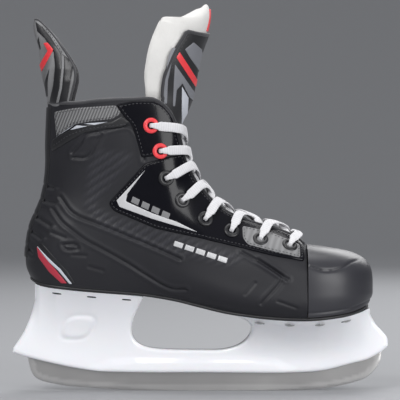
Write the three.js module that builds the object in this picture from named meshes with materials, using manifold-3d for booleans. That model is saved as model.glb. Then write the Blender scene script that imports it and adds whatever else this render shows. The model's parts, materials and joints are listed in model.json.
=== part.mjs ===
// A right-foot ice hockey skate: a stiff boot riveted to a blade holder that clamps a steel runner.
// Millimetres, +Z up, toe towards +X, outer (lateral) side of the foot towards -Y.
// The origin is on the ice, under the middle of the runner.
import * as THREE from "three";
import { mergeVertices } from "three/addons/utils/BufferGeometryUtils.js";
import Module from "manifold-3d";

const wasm = await Module();
wasm.setup();

// ---- Overall sizes. The patterns below are drawn for the base size and graded to these. ----
const BOOT_LENGTH = 281.2;
const BALL_WIDTH = 93;
const CUFF_HEIGHT = 233;
const BASE_LENGTH = 281.2;
const BASE_WIDTH = 93;
const BASE_HEIGHT = 233;

// ---- Walls, clearances and layers ----
const GAP = 0.3;
const LINING_GAP = 0.9;
const FELT_GAP = 0.7;
const QUARTER_WALL = 2.6;
const LINER_WALL = 3.2;
const OVERLAY_WALL = 1.1;
const OUTSOLE_WALL = 2.4;
const BOARD_WALL = 2.2;
const FOOTBED_WALL = 4;
const TOE_CAP_WALL = 2.8;
const TOE_CAP_STEP = 0.9;

// ---- Runner, holder and their fixings ----
const RUNNER_THICKNESS = 3;
const LUG_X = [-102, 107];
const LUG_LENGTH = 24;
const LUG_TOP = 38;
const PIN_Z = 33.5;
const PIN_RADIUS = 2;
const SHANK_RADIUS = 2.5;
const CHEEK_WALL = 2.1;
const CHEEK_LENGTH = 8;
const NUT_ACROSS = 8;
const NUT_HEIGHT = 4;
const SHELF_WALL = 3.6;
const HOLDER_WALL = 3;
const HOLDER_FOOT = 7;
const POCKET_HALF = 13;
const POCKET_BACK = 26;
const POCKET_FRONT = { rear: 32, front: 20 };
const BAND_STEP = 1.2;

// ---- Rivets ----
const RIVET_X = [-115, -87, -59, 48, 72, 96, 117];
const RIVET_SHANK = 1.9;
const RIVET_HEAD = 4;
const RIVET_DOME = 1.6;
const FLANGE_WALL = 3;
const RIVET_EDGE = 7;
const POCKET_HEIGHT = 2.4;

// ---- Eyelets and lace ----
const EYELET_RIM = 6.3;
const EYELET_BARREL = 3.6;
const EYELET_HOLE = 2.8;
const EYELET_LIP = 0.9;
const LACE_WIDTH = 7.5;
const LACE_THICKNESS = 1.6;
const LACE_PINCH = 3.6;

// ---- Tongue and tendon guard ----
const TONGUE_COVER_WALL = 1.8;
const TONGUE_FELT_WALL = 5.5;
const GUARD_SHELL_WALL = 2.4;
const GUARD_PAD_WALL = 4;
const GUARD_BASE = 233.2;
const GUARD_TOP = 301;
const GUARD_PAD_TOP = 288;

const gradeX = BOOT_LENGTH / BASE_LENGTH;
const gradeY = BALL_WIDTH / BASE_WIDTH;
const gradeZ = CUFF_HEIGHT / BASE_HEIGHT;

// ---- Patterns in side view, as [x, z] points of the base size ----
const graded = (points) => points.map(([x, z]) => [x * gradeX, z * gradeZ]);
const SOLE_LINE = graded([
  [-137.6, 90], [-129, 86.2], [-103, 82.6], [-78, 80.4], [-45.6, 77.6], [-20, 73.4],
  [0, 68.6], [20, 64], [41, 61], [61, 59.2], [85.6, 58.4], [102, 59.5], [122.4, 62.6], [138, 68],
]);
const REAR_LINE = graded([
  [-137.6, 92.7], [-140.6, 100], [-141.4, 110.6], [-140.4, 121], [-137.8, 134], [-134, 143.5],
  [-129.5, 154], [-126.4, 166], [-124.6, 182], [-124.6, 200], [-123.3, 233],
]);
const CUFF_LINE = graded([
  [-123.3, 233], [-100, 232.2], [-80, 234.2], [-54, 235.4], [-38, 235.6], [-30, 232], [-23, 225], [-18.8, 216],
]);
const FACING_LINE = graded([
  [-18.8, 216], [-15, 203], [-12.4, 190], [-4, 172], [4, 161.6], [20, 147], [44, 137],
  [60, 132.4], [73, 127.5], [85.3, 119],
]);
const RUNNER_BOTTOM = graded([
  [-139.6, 24.8], [-136.6, 14.6], [-132.5, 9.6], [-114, 4.4], [-78, 1.4], [-48, 0],
  [71, 0], [102, 1.8], [122.4, 5.9], [136.8, 11.5], [145.9, 22.8], [147.4, 31],
]);
const HOLDER_BOTTOM = graded([
  [-152.4, 31], [-142.6, 27.8], [-119, 21.8], [-88.6, 16.2], [-58, 14.8], [0, 14.6],
  [81.6, 14.6], [102, 16.6], [122.4, 21.8], [135.7, 25.3], [147, 31.4],
]);
const RUNNER_SEAT = graded([
  [146, 33], [140, 34.6], [122, 28.8], [102, 23.8], [81, 22], [-58, 22], [-88, 23.6], [-119, 29], [-138.6, 33.6],
]);
const HOLDER_FRONT = graded([
  [152.4, 36], [152, 42.4], [147.2, 48.8], [142.4, 54], [137.6, 63], [137, 69],
]);
const HOLDER_REAR = graded([
  [-133.4, 90], [-133.6, 74], [-138.4, 58], [-144, 46], [-151.6, 34.6],
]);
const WINDOW = graded([
  [-46, 96], [-46, 76], [-51, 65], [-55, 54], [-54.6, 45], [-50, 38.4], [-40, 34.8], [0, 33.2],
  [20, 33.8], [32, 37.6], [39, 44], [41.4, 51], [38.6, 57], [31, 60.8], [31, 96],
]);
const SIDE_BAND = graded([
  [-92, 21], [-70, 30.5], [-52, 33], [44, 33], [62, 30.5], [78, 21], [62, 19.5], [-70, 19.5],
]);
const FACING_PANEL = graded([
  [-71.2, 151.4], [-44, 184.4], [-11, 190.4], [0, 230], [60, 200], [82.6, 150], [82.8, 106],
  [58, 112], [24.8, 120.8], [0, 127.2],
]);
const COLLAR_PANEL = graded([
  [-70, 245], [-62, 224.4], [-52, 211], [-45.4, 186.6], [-13.4, 192.2], [-18.2, 212], [0, 245],
]);
const MESH_PANEL = graded([
  [-117, 225.6], [-101, 228.4], [-67, 230.6], [-62.6, 222], [-70, 217.4], [-86, 215.8],
  [-103, 214.4], [-115, 205],
]);

// Half widths at six heights up the side (0 sole, 1 top edge), for stations from heel to toe.
const WIDTH_HEIGHTS = [0, 0.12, 0.3, 0.5, 0.75, 1];
const WIDTH_STATIONS = [0, 0.17, 0.35, 0.5, 0.65, 0.82, 1];
const HALF_WIDTHS = [
  [27, 31, 32, 30, 34, 38],
  [28, 32.5, 34, 33, 36.5, 38.5],
  [27, 32, 35.5, 36.5, 35.5, 29],
  [27, 33, 36, 36, 32, 22.5],
  [32, 38.5, 39.5, 38, 32, 20],
  [39, 45, 45.5, 43.5, 36, 19],
  [42, 46, 46.5, 45, 39.5, 19],
];
const TABLE_SPAN = WIDTH_HEIGHTS.length - 1;

// Plan-view bend of the boot's middle line towards the big toe.
const TOE_SWING = 4;
const SWING_BALANCE = 0.53;

// Half widths of the holder's flange in plan view, as [x, half width]; the rivets stand inside its edge.
const FLANGE_PLAN = [
  [-136, 9], [-130, 19], [-116, 25.5], [-88, 27.5], [-60, 26], [-44, 24], [30, 28], [46, 34],
  [70, 38], [95, 38], [115, 33], [130, 23], [139, 12],
].map(([x, w]) => [x * gradeX, w * gradeY]);

// ---- Small mathematics ----
const clamp01 = (t) => Math.min(1, Math.max(0, t));
const smooth = (t) => clamp01(t) * clamp01(t) * (3 - 2 * clamp01(t));
const mix = (a, b, t) => a + (b - a) * t;

function curveOf(points) {
  const flat = points.map(([x, z]) => new THREE.Vector3(x, 0, z));
  return new THREE.CatmullRomCurve3(flat, false, "centripetal");
}

// The value of a point list [[x, value], ...] at x, straight between its points.
function along(points, x) {
  if (x <= points[0][0]) return points[0][1];
  for (let i = 1; i < points.length; i++) {
    const [x0, a] = points[i - 1];
    const [x1, b] = points[i];
    if (x <= x1) return mix(a, b, (x - x0) / (x1 - x0));
  }
  return points[points.length - 1][1];
}

const swing = (x) => gradeY * TOE_SWING * (smooth((x - 10) / 130) - SWING_BALANCE);

// ---- Boot surface: a from -1 (lateral front edge) round the heel at 0 to 1 (medial front edge),
// v from 0 at the sole to 1 at the top edge ----
const HEEL_SPAN = 0.15;
const HEEL_TURN = 0.217;
const CUFF_SPAN = 0.36;
const soleCurve = curveOf(SOLE_LINE.filter(([x]) => x < 86 * gradeX));
const rearCurve = curveOf(REAR_LINE);
const cuffCurve = curveOf(CUFF_LINE);
const facingCurve = curveOf(FACING_LINE);
const SOLE_STACK = OUTSOLE_WALL + GAP;
const CORNER = {
  heel: rearCurve.getPointAt(0),
  cuff: rearCurve.getPointAt(1),
  toeTop: facingCurve.getPointAt(1),
  toeSole: soleCurve.getPointAt(1).add(new THREE.Vector3(0, 0, SOLE_STACK)),
};

function topPoint(u) {
  if (u < CUFF_SPAN) return cuffCurve.getPointAt(u / CUFF_SPAN);
  return facingCurve.getPointAt((u - CUFF_SPAN) / (1 - CUFF_SPAN));
}

function solePoint(u) {
  return soleCurve.getPointAt(u).add(new THREE.Vector3(0, 0, SOLE_STACK));
}

function sidePoint(u, v) {
  const p = solePoint(u).multiplyScalar(1 - v);
  p.addScaledVector(topPoint(u), v);
  p.addScaledVector(rearCurve.getPointAt(v), 1 - u);
  p.addScaledVector(CORNER.toeSole, u * (1 - v)).addScaledVector(CORNER.toeTop, u * v);
  p.addScaledVector(CORNER.heel, -(1 - u) * (1 - v)).addScaledVector(CORNER.cuff, -(1 - u) * v);
  p.addScaledVector(CORNER.toeSole, -u * (1 - v)).addScaledVector(CORNER.toeTop, -u * v);
  return p;
}

// A smooth value between the entries of a table, at entry number t.
function cubic(values, t) {
  const i = Math.min(values.length - 2, Math.floor(t));
  const f = t - i;
  const before = values[Math.max(0, i - 1)];
  const after = values[Math.min(values.length - 1, i + 2)];
  const slopeA = (values[i + 1] - before) / 2;
  const slopeB = (after - values[i]) / 2;
  const f2 = f * f;
  const f3 = f2 * f;
  return (2 * f3 - 3 * f2 + 1) * values[i] + (f3 - 2 * f2 + f) * slopeA
    + (3 * f2 - 2 * f3) * values[i + 1] + (f3 - f2) * slopeB;
}

const placeIn = (knots, x) => along(knots.map((k, i) => [k, i]), x);

function halfWidth(u, v) {
  const column = HALF_WIDTHS.map((row) => cubic(row, Math.min(TABLE_SPAN, placeIn(WIDTH_HEIGHTS, v))));
  return gradeY * cubic(column, placeIn(WIDTH_STATIONS, u));
}

function bootPoint(a, v) {
  const turn = Math.min(1, Math.abs(a) / HEEL_TURN) * (Math.PI / 2);
  const rest = Math.max(0, (Math.abs(a) - HEEL_TURN) / (1 - HEEL_TURN));
  const u = Math.min(1, HEEL_SPAN * (1 - Math.cos(turn)) + (1 - HEEL_SPAN) * rest);
  const p = sidePoint(u, v);
  p.y = swing(p.x) + Math.sign(a) * halfWidth(u, v) * Math.sin(turn);
  return p;
}

function bootNormal(a, v) {
  const step = 0.004;
  const a0 = Math.max(-1, a - step);
  const a1 = Math.min(1, a + step);
  const v0 = Math.max(0, v - step);
  const v1 = Math.min(1, v + step);
  const da = bootPoint(a1, v).sub(bootPoint(a0, v));
  const dv = bootPoint(a, v1).sub(bootPoint(a, v0));
  return dv.cross(da).normalize();
}

const bootOffset = (a, v, d) => bootPoint(a, v).addScaledVector(bootNormal(a, v), d);

// The (a, v) of the boot surface whose side view is the point (x, z).
function locate(x, z, side) {
  let a = 0.6;
  let v = 0.8;
  for (let i = 0; i < 30; i++) {
    const p = bootPoint(side * a, v);
    const h = 0.002;
    const pa = bootPoint(side * (a + h), v).sub(p).divideScalar(h);
    const pv = bootPoint(side * a, v + (v > 0.9 ? -h : h)).sub(p).divideScalar(v > 0.9 ? -h : h);
    const dx = x - p.x;
    const dz = z - p.z;
    const det = pa.x * pv.z - pa.z * pv.x;
    a = Math.min(0.99, Math.max(0.02, a + (dx * pv.z - dz * pv.x) / det));
    v = Math.min(1, Math.max(0, v + (pa.x * dz - pa.z * dx) / det));
  }
  return [side * a, v];
}

// ---- Solids ----
function toManifold(geometry) {
  const bare = geometry.clone();
  bare.deleteAttribute("normal");
  bare.deleteAttribute("uv");
  const merged = mergeVertices(bare, 1e-4);
  const index = merged.index.array;
  const triVerts = [];
  for (let i = 0; i < index.length; i += 3) {
    const [p, q, r] = [index[i], index[i + 1], index[i + 2]];
    if (p !== q && q !== r && r !== p) triVerts.push(p, q, r);
  }
  return new wasm.Manifold(new wasm.Mesh({
    numProp: 3,
    vertProperties: merged.attributes.position.array,
    triVerts: new Uint32Array(triVerts),
  }));
}

function toGeometry(solid) {
  const mesh = solid.getMesh();
  const geometry = new THREE.BufferGeometry();
  geometry.setAttribute("position", new THREE.BufferAttribute(new Float32Array(mesh.vertProperties), 3));
  geometry.setIndex(new THREE.BufferAttribute(new Uint32Array(mesh.triVerts), 1));
  const flat = geometry.toNonIndexed();
  flat.computeVertexNormals();
  return flat;
}

// A closed wall between two sheets: at(s, t, k) with s, t from 0 to 1 and k 0 inside, 1 outside.
function wall(at, ns, nt) {
  const points = [];
  for (const k of [0, 1])
    for (let j = 0; j <= nt; j++)
      for (let i = 0; i <= ns; i++) points.push(at(i / ns, j / nt, k));
  const id = (i, j, k) => k * (ns + 1) * (nt + 1) + j * (ns + 1) + i;
  const faces = [];
  const quad = (a, b, c, d) => faces.push(a, b, c, a, c, d);
  for (let j = 0; j < nt; j++)
    for (let i = 0; i < ns; i++) {
      quad(id(i, j, 1), id(i + 1, j, 1), id(i + 1, j + 1, 1), id(i, j + 1, 1));
      quad(id(i, j, 0), id(i, j + 1, 0), id(i + 1, j + 1, 0), id(i + 1, j, 0));
    }
  for (let i = 0; i < ns; i++) {
    quad(id(i, 0, 0), id(i + 1, 0, 0), id(i + 1, 0, 1), id(i, 0, 1));
    quad(id(i, nt, 0), id(i, nt, 1), id(i + 1, nt, 1), id(i + 1, nt, 0));
  }
  for (let j = 0; j < nt; j++) {
    quad(id(0, j, 0), id(0, j, 1), id(0, j + 1, 1), id(0, j + 1, 0));
    quad(id(ns, j, 0), id(ns, j + 1, 0), id(ns, j + 1, 1), id(ns, j, 1));
  }
  return solidOf(points, faces);
}

// A solid from points and triangles, turned to face outwards.
function solidOf(points, faces) {
  const solid = manifoldOf(points, faces);
  if (solid.volume() >= 0) return solid;
  const turned = [];
  for (let i = 0; i < faces.length; i += 3) turned.push(faces[i], faces[i + 2], faces[i + 1]);
  return manifoldOf(points, turned);
}

function manifoldOf(points, faces) {
  const geometry = new THREE.BufferGeometry();
  geometry.setAttribute("position", new THREE.Float32BufferAttribute(points.flatMap((p) => [p.x, p.y, p.z]), 3));
  geometry.setIndex(faces);
  return toManifold(geometry.toNonIndexed());
}

// An outline of [x, z] points, extruded across the skate from y0 to y1.
function prism(outline, y0, y1) {
  const shape = new THREE.Shape(outline.map(([x, z]) => new THREE.Vector2(x, z)));
  const geometry = new THREE.ExtrudeGeometry(shape, { depth: y1 - y0, bevelEnabled: false });
  geometry.rotateX(Math.PI / 2).translate(0, y1, 0);
  return toManifold(geometry);
}

function box(x0, x1, y0, y1, z0, z1) {
  const geometry = new THREE.BoxGeometry(x1 - x0, y1 - y0, z1 - z0);
  return toManifold(geometry.translate((x0 + x1) / 2, (y0 + y1) / 2, (z0 + z1) / 2));
}

// A turned solid from [radius, height] points, with its axis along +Z or along the given direction.
function turned(profile, segments, base, direction) {
  const geometry = new THREE.LatheGeometry(profile.map(([r, h]) => new THREE.Vector2(r, h)), segments);
  geometry.rotateX(Math.PI / 2);
  const turn = new THREE.Quaternion().setFromUnitVectors(new THREE.Vector3(0, 0, 1), direction);
  geometry.applyQuaternion(turn).translate(base.x, base.y, base.z);
  return toManifold(geometry);
}

const rod = (radius, length, segments, base, direction) =>
  turned([[0, 0], [radius, 0], [radius, length], [0, length]], segments, base, direction);

const UP = new THREE.Vector3(0, 0, 1);
const LATERAL_GAP = 0.0012;

// ---- Scene graph ----
const skate = new THREE.Group();
const FINISHES = {
  steel: [0xa9a8a6, 0.28, 1],
  holder: [0xeef0f4, 0.35, 0],
  shell: [0x2b2b2f, 0.55, 0],
  patent: [0x08080b, 0.15, 0],
  mesh: [0x77777c, 0.7, 0],
  sole: [0x1c1c1f, 0.6, 0],
  board: [0x8a7a5c, 0.8, 0],
  liner: [0x3a3a3e, 0.9, 0],
  felt: [0xeeebe4, 0.95, 0],
  lace: [0xf2f1ee, 0.9, 0],
  red: [0xe0383f, 0.4, 0],
  zinc: [0x9a9b9d, 0.4, 1],
};

function place(name, solid, finish) {
  const [color, roughness, metalness] = FINISHES[finish];
  const material = new THREE.MeshStandardMaterial({ color, roughness, metalness });
  const mesh = new THREE.Mesh(toGeometry(solid), material);
  mesh.name = name;
  skate.add(mesh);
}

const SIDES = [["lateral", -1], ["medial", 1]];

// ---- Boot shell ----
const bootStations = 18;
const bootRows = 8;

// The layer between two offsets on one side of the boot, or right round it when side is 0.
function layer(side, inner, outer, vLow = 0, frontCut = 1) {
  const from = side < 0 ? -frontCut : side > 0 ? LATERAL_GAP : -frontCut;
  const to = side < 0 ? -LATERAL_GAP : frontCut;
  const count = side === 0 ? 32 : bootStations;
  return wall((s, t, k) => bootOffset(mix(from, to, s), mix(vLow, 1, t), k ? outer : inner), count, bootRows);
}

// Cuts an outline out of a layer on one side of the boot.
function panel(outline, side, inner, outer) {
  const reach = side * BALL_WIDTH;
  return layer(side, inner, outer).intersect(prism(outline, Math.min(0, reach), Math.max(0, reach)));
}

const EYELET_SPOTS = graded([
  [-39.2, 214.3], [-31.8, 194], [-27.2, 172.4], [-14.5, 154.8], [3.9, 139.4], [25, 129.8],
  [48.2, 123], [71.4, 118],
]);
// Where each lace strand crosses the edge of the throat.
const EDGE_SPOTS = graded([
  [-17.4, 211.5], [-13.4, 195], [-9, 182.5], [0, 166.6], [13, 153], [31, 143], [55, 133.8], [77, 125],
]);
const OVERLAY_TOP = GAP + OVERLAY_WALL;

const eyelets = SIDES.map(([, side]) => EYELET_SPOTS.map(([x, z], n) => {
  const [a, v] = locate(x, z, side);
  const [edgeA] = locate(...EDGE_SPOTS[n], side);
  return { edgeA, at: bootPoint(a, v), normal: bootNormal(a, v) };
}));

// Drills the eyelet barrels out of a solid on one side.
function drilled(solid, sideIndex) {
  let out = solid;
  for (const e of eyelets[sideIndex]) {
    const start = e.at.clone().addScaledVector(e.normal, -12);
    out = out.subtract(rod(EYELET_BARREL + GAP + 0.1, 24, 8, start, e.normal));
  }
  return out;
}

SIDES.forEach(([label, side], i) => {
  place("quarter_" + label, drilled(layer(side, -QUARTER_WALL, 0), i), "shell");
  place("eyestay_" + label, drilled(panel(FACING_PANEL, side, GAP, OVERLAY_TOP), i), "patent");
  place("collar_" + label, drilled(panel(COLLAR_PANEL, side, GAP, OVERLAY_TOP), i), "patent");
  place("mesh_insert_" + label, panel(MESH_PANEL, side, GAP, OVERLAY_TOP), "mesh");
  EYELET_SPOTS.forEach((spot, n) => {
    const { at, normal } = eyelets[i][n];
    const base = at.clone().addScaledVector(normal, -QUARTER_WALL);
    const seat = QUARTER_WALL + OVERLAY_TOP + GAP;
    const ring = turned([
      [EYELET_HOLE, 0], [EYELET_BARREL, 0], [EYELET_BARREL, seat], [EYELET_RIM, seat],
      [EYELET_RIM - 0.8, seat + EYELET_LIP], [EYELET_HOLE, seat + EYELET_LIP], [EYELET_HOLE, 0],
    ], 8, base, normal);
    place(`eyelet_${label}_${n + 1}`, ring, n < 2 ? "red" : "shell");
  });
});

// ---- Toe cap: a stiff dome in front of the quarters ----
const TOE_EDGE = 86.2 * gradeX;
const TOE_TIP = 139.4 * gradeX;
const TOE_MIDDLE = 80 * gradeZ;
const TOE_TOP = 117.6 * gradeZ;
const TOE_DROP = 6.5 * gradeZ;
const TOE_HALF_WIDTH = 46 * gradeY;
const TOE_FOOT = 0.3;

const soleSamples = curveOf(SOLE_LINE).getPoints(28).map((p) => [p.x, p.z]);
// The sole line raised by a height, run on past both ends of the boot.
const raisedSole = (height) => {
  const [first, last] = [soleSamples[0], soleSamples[soleSamples.length - 1]];
  const ends = [[first[0] - 20, first[1]], [last[0] + 20, last[1]]];
  return [ends[0], ...soleSamples, ends[1]].map(([x, z]) => [x, z + height]);
};
const soleAt = (x) => along(soleSamples, x);

// w from -1 (lateral) to 1 (medial) round the toe, e from 0 at the sole to 1 on top, d proud.
function toePoint(w, e, d) {
  const round = w * (Math.PI / 2);
  const rise = clamp01((e - TOE_FOOT) / (1 - TOE_FOOT)) * (Math.PI / 2);
  const power = mix(0.46, 0.62, Math.abs(Math.sin(round)));
  const foot = clamp01(e / TOE_FOOT);
  const reach = e < TOE_FOOT ? 0.93 + 0.07 * Math.sin(foot * Math.PI / 2) : Math.cos(rise) ** power;
  const x = TOE_EDGE + (TOE_TIP - TOE_EDGE + d) * reach * Math.cos(round) ** 0.9;
  const y = swing(x) + (TOE_HALF_WIDTH + d) * reach * Math.sign(w) * Math.abs(Math.sin(round)) ** 0.95;
  const low = soleAt(x) + SOLE_STACK + GAP;
  const lift = (TOE_TOP + d - TOE_MIDDLE) * Math.sin(rise) ** power;
  const drop = TOE_DROP * Math.max(0, (x - TOE_EDGE) / (TOE_TIP - TOE_EDGE));
  const z = e < TOE_FOOT ? mix(low, TOE_MIDDLE, foot) : TOE_MIDDLE + lift * (1 - drop / (TOE_TOP - TOE_MIDDLE));
  return new THREE.Vector3(x, y, z);
}

place("toe_cap", wall((s, t, k) => {
  const w = Math.sin((s - 0.5) * Math.PI);
  return toePoint(w, t, k ? TOE_CAP_STEP : TOE_CAP_STEP - TOE_CAP_WALL);
}, 18, 8), "shell");

// ---- Sole stack: outsole, lasting board and footbed ----
// The plan outline of the boot just above its sole, moved out by d.
function planOutline(d) {
  const points = [];
  const turns = 22;
  for (let i = 0; i <= turns; i++) {
    const p = bootOffset(mix(-1, 1, i / turns), 0, d);
    points.push([p.x, p.y]);
  }
  for (let i = 0; i <= 10; i++) {
    const p = toePoint(Math.sin(mix(0.5, -0.5, i / 10) * Math.PI), 0.05, d);
    points.push([p.x, p.y]);
  }
  return points;
}

// A plate that follows the sole line, from height low to height high above it.
function soleplate(d, low, high) {
  const shape = new THREE.Shape(planOutline(d).map(([x, y]) => new THREE.Vector2(x, y)));
  const column = toManifold(new THREE.ExtrudeGeometry(shape, { depth: CUFF_HEIGHT, bevelEnabled: false }));
  const slab = prism([...raisedSole(low), ...raisedSole(high).reverse()], -BALL_WIDTH, BALL_WIDTH);
  return column.intersect(slab);
}

const BOARD_TOP = SOLE_STACK + BOARD_WALL;
const UPSET = 1.1;
const FOOTBED_BASE = BOARD_TOP + GAP + UPSET + GAP;
const INNER_FACE = -(QUARTER_WALL + LINING_GAP);
const LINER_FACE = INNER_FACE - LINER_WALL;

const rivets = RIVET_X.map((x) => x * gradeX).flatMap((x) => SIDES.map(([label, side]) => {
  const slope = Math.atan2(soleAt(x + 2) - soleAt(x - 2), 4);
  const axis = new THREE.Vector3(-Math.sin(slope), 0, Math.cos(slope));
  const y = swing(x) + side * (along(FLANGE_PLAN, x) - RIVET_EDGE);
  return { label, seat: new THREE.Vector3(x, y, soleAt(x)), axis };
}));

// Drills the rivet shanks out of a plate.
function riveted(solid) {
  let out = solid;
  for (const r of rivets) {
    const start = r.seat.clone().addScaledVector(r.axis, -12);
    out = out.subtract(rod(RIVET_SHANK + GAP + 0.3, 24, 6, start, r.axis));
  }
  return out;
}

place("outsole", riveted(soleplate(-1, 0, OUTSOLE_WALL)), "sole");
place("lasting_board", riveted(soleplate(INNER_FACE, SOLE_STACK, BOARD_TOP)), "board");
place("footbed", soleplate(LINER_FACE - GAP, FOOTBED_BASE, FOOTBED_BASE + FOOTBED_WALL), "liner");

const LINER_PANEL = graded([
  [-160, 60], [-160, 260], [-58, 260], [-54, 206], [-46, 180], [-36, 160], [-20, 138], [4, 122],
  [40, 110], [78, 102], [78, 60],
]);
const linerCut = prism(LINER_PANEL, -BALL_WIDTH, BALL_WIDTH);
place("liner", layer(0, LINER_FACE, INNER_FACE, 0.1, 0.96).intersect(linerCut), "liner");

rivets.forEach((r, i) => {
  const grip = FLANGE_WALL + GAP * 2 + OUTSOLE_WALL + GAP + BOARD_WALL + GAP;
  const base = r.seat.clone().addScaledVector(r.axis, -GAP * 2 - FLANGE_WALL);
  const solid = turned([
    [0, -RIVET_DOME], [RIVET_HEAD * 0.6, -RIVET_DOME * 0.8], [RIVET_HEAD, 0], [RIVET_SHANK, 0],
    [RIVET_SHANK, grip], [RIVET_SHANK * 1.6, grip], [RIVET_SHANK * 1.2, grip + UPSET], [0, grip + UPSET],
  ], 8, base, r.axis);
  place(`rivet_${r.label}_${Math.floor(i / 2) + 1}`, solid, "zinc");
});

// ---- Blade holder ----
const SLOT_HALF = RUNNER_THICKNESS / 2 + GAP;
const holderLow = (x) => along(HOLDER_BOTTOM, x);
const holderTop = (x) => soleAt(x) - GAP;

// The flare of the towers: half width and sideways shift at (x, z), from the foot to the flange.
const FLARE_START = 8;
function holderSection(x, z) {
  const low = holderLow(x) + FLARE_START;
  const rise = clamp01((z - low) / (holderTop(x) - low)) ** 2.2;
  return { half: mix(HOLDER_FOOT, Math.max(HOLDER_FOOT, along(FLANGE_PLAN, x)), rise), shift: swing(x) * rise };
}

// The flared body of the holder, narrowed by inset, cut later to its outline in side view.
function flare(inset) {
  const from = -156 * gradeX;
  const to = 156 * gradeX;
  return wall((s, t, k) => {
    const x = mix(from, to, s);
    const z = mix(2, holderTop(x), t);
    const section = holderSection(x, z);
    const half = Math.min(section.half - inset, inset ? POCKET_HALF : BALL_WIDTH);
    return new THREE.Vector3(x, section.shift + (k ? half : -half), z);
  }, 18, 6);
}

const soleCut = raisedSole(-GAP).filter(([x]) => Math.abs(x) < 137 * gradeX).reverse();
const HOLDER_OUTLINE = [
  ...curveOf(HOLDER_BOTTOM).getPoints(15).map((p) => [p.x, p.z]),
  ...HOLDER_FRONT.slice(0, -1), ...soleCut.filter(([x]) => x > -133 * gradeX), ...HOLDER_REAR.slice(1),
];
const RUNNER_OUTLINE = [
  ...curveOf(RUNNER_BOTTOM).getPoints(34).map((p) => [p.x, Math.max(0, p.z)]), ...RUNNER_SEAT,
];
const SLOT_OUTLINE = [
  ...graded([[-156, 0], [156, 0], [148.4, 32]]),
  ...RUNNER_SEAT.map(([x, z]) => [x + Math.sign(x) * GAP, z + GAP]),
];

let holder = flare(0).intersect(prism(HOLDER_OUTLINE, -BALL_WIDTH, BALL_WIDTH));
holder = holder.subtract(prism(WINDOW, -BALL_WIDTH, BALL_WIDTH));
holder = holder.add(prism(SIDE_BAND, -HOLDER_FOOT - BAND_STEP, HOLDER_FOOT + BAND_STEP));
holder = holder.subtract(prism(SLOT_OUTLINE, -SLOT_HALF, SLOT_HALF));
const lugs = LUG_X.map((x) => x * gradeX);
const BRIDGE_BASE = LUG_TOP + GAP;
const SHACKLE_TOP = BRIDGE_BASE + CHEEK_WALL * 1.4;
const SHELF_BASE = SHACKLE_TOP + GAP;
const SHELF_TOP = SHELF_BASE + SHELF_WALL;
const CHEEK_FACE = RUNNER_THICKNESS / 2 + GAP;
const CHEEK_OUT = CHEEK_FACE + CHEEK_WALL;
const CHEEK_FOOT = PIN_Z - PIN_RADIUS - 1.2;
const pocketBlank = flare(HOLDER_WALL);
for (const x of lugs) {
  const half = LUG_LENGTH / 2 + GAP;
  holder = holder.subtract(box(x - half, x + half, -SLOT_HALF, SLOT_HALF, 0, LUG_TOP + GAP));
  const cheek = CHEEK_LENGTH / 2 + GAP;
  const wide = CHEEK_OUT + GAP;
  holder = holder.subtract(box(x - cheek, x + cheek, -wide, wide, CHEEK_FOOT - GAP, SHELF_BASE));
  holder = holder.subtract(rod(SHANK_RADIUS + GAP, 24, 12, new THREE.Vector3(x, 0, SHELF_BASE - 2), UP));
  const ahead = x > 0 ? POCKET_FRONT.front : POCKET_FRONT.rear;
  const reach = [x - POCKET_BACK * gradeX, x + ahead * gradeX];
  const pocket = pocketBlank.intersect(box(reach[0], reach[1], -BALL_WIDTH, BALL_WIDTH, SHELF_TOP, CUFF_HEIGHT));
  holder = holder.subtract(pocket);
}
for (const r of rivets) {
  const under = r.seat.clone().addScaledVector(r.axis, -GAP * 2 - FLANGE_WALL - POCKET_HEIGHT);
  holder = holder.subtract(rod(RIVET_HEAD + 1, POCKET_HEIGHT + GAP, 8, under, r.axis));
}
place("blade_holder", riveted(holder), "holder");

// ---- Steel runner with its two lugs, hook bolts and nuts ----
let runner = prism(RUNNER_OUTLINE, -RUNNER_THICKNESS / 2, RUNNER_THICKNESS / 2);
for (const x of lugs) {
  const half = LUG_LENGTH / 2;
  runner = runner.add(box(x - half, x + half, -RUNNER_THICKNESS / 2, RUNNER_THICKNESS / 2, 20, LUG_TOP));
  const across = new THREE.Vector3(0, 1, 0);
  runner = runner.subtract(rod(PIN_RADIUS + GAP, 20, 14, new THREE.Vector3(x, -10, PIN_Z), across));
}
place("steel_runner", runner, "steel");

lugs.forEach((x, i) => {
  const cheek = CHEEK_LENGTH / 2;
  const across = new THREE.Vector3(0, 1, 0);
  const label = i ? "front" : "rear";
  const nutBase = SHELF_TOP + GAP;
  let bolt = box(x - cheek, x + cheek, -CHEEK_OUT, CHEEK_OUT, BRIDGE_BASE, SHACKLE_TOP);
  bolt = bolt.add(box(x - cheek, x + cheek, CHEEK_FACE, CHEEK_OUT, CHEEK_FOOT, SHACKLE_TOP));
  bolt = bolt.add(box(x - cheek, x + cheek, -CHEEK_OUT, -CHEEK_FACE, CHEEK_FOOT, SHACKLE_TOP));
  bolt = bolt.add(rod(PIN_RADIUS, CHEEK_OUT * 2 - 1, 12, new THREE.Vector3(x, -CHEEK_OUT + 0.5, PIN_Z), across));
  const shankLength = nutBase + NUT_HEIGHT + 1 - SHACKLE_TOP + 1;
  bolt = bolt.add(rod(SHANK_RADIUS, shankLength, 12, new THREE.Vector3(x, 0, SHACKLE_TOP - 1), UP));
  place("hook_bolt_" + label, bolt, "zinc");
  const seat = new THREE.Vector3(x, 0, nutBase);
  const hexagon = rod(NUT_ACROSS / Math.sqrt(3), NUT_HEIGHT, 6, seat, UP);
  const bore = rod(SHANK_RADIUS + GAP, NUT_HEIGHT + 2, 12, seat.clone().setZ(nutBase - 1), UP);
  place("hook_nut_" + label, hexagon.subtract(bore), "zinc");
});

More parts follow.
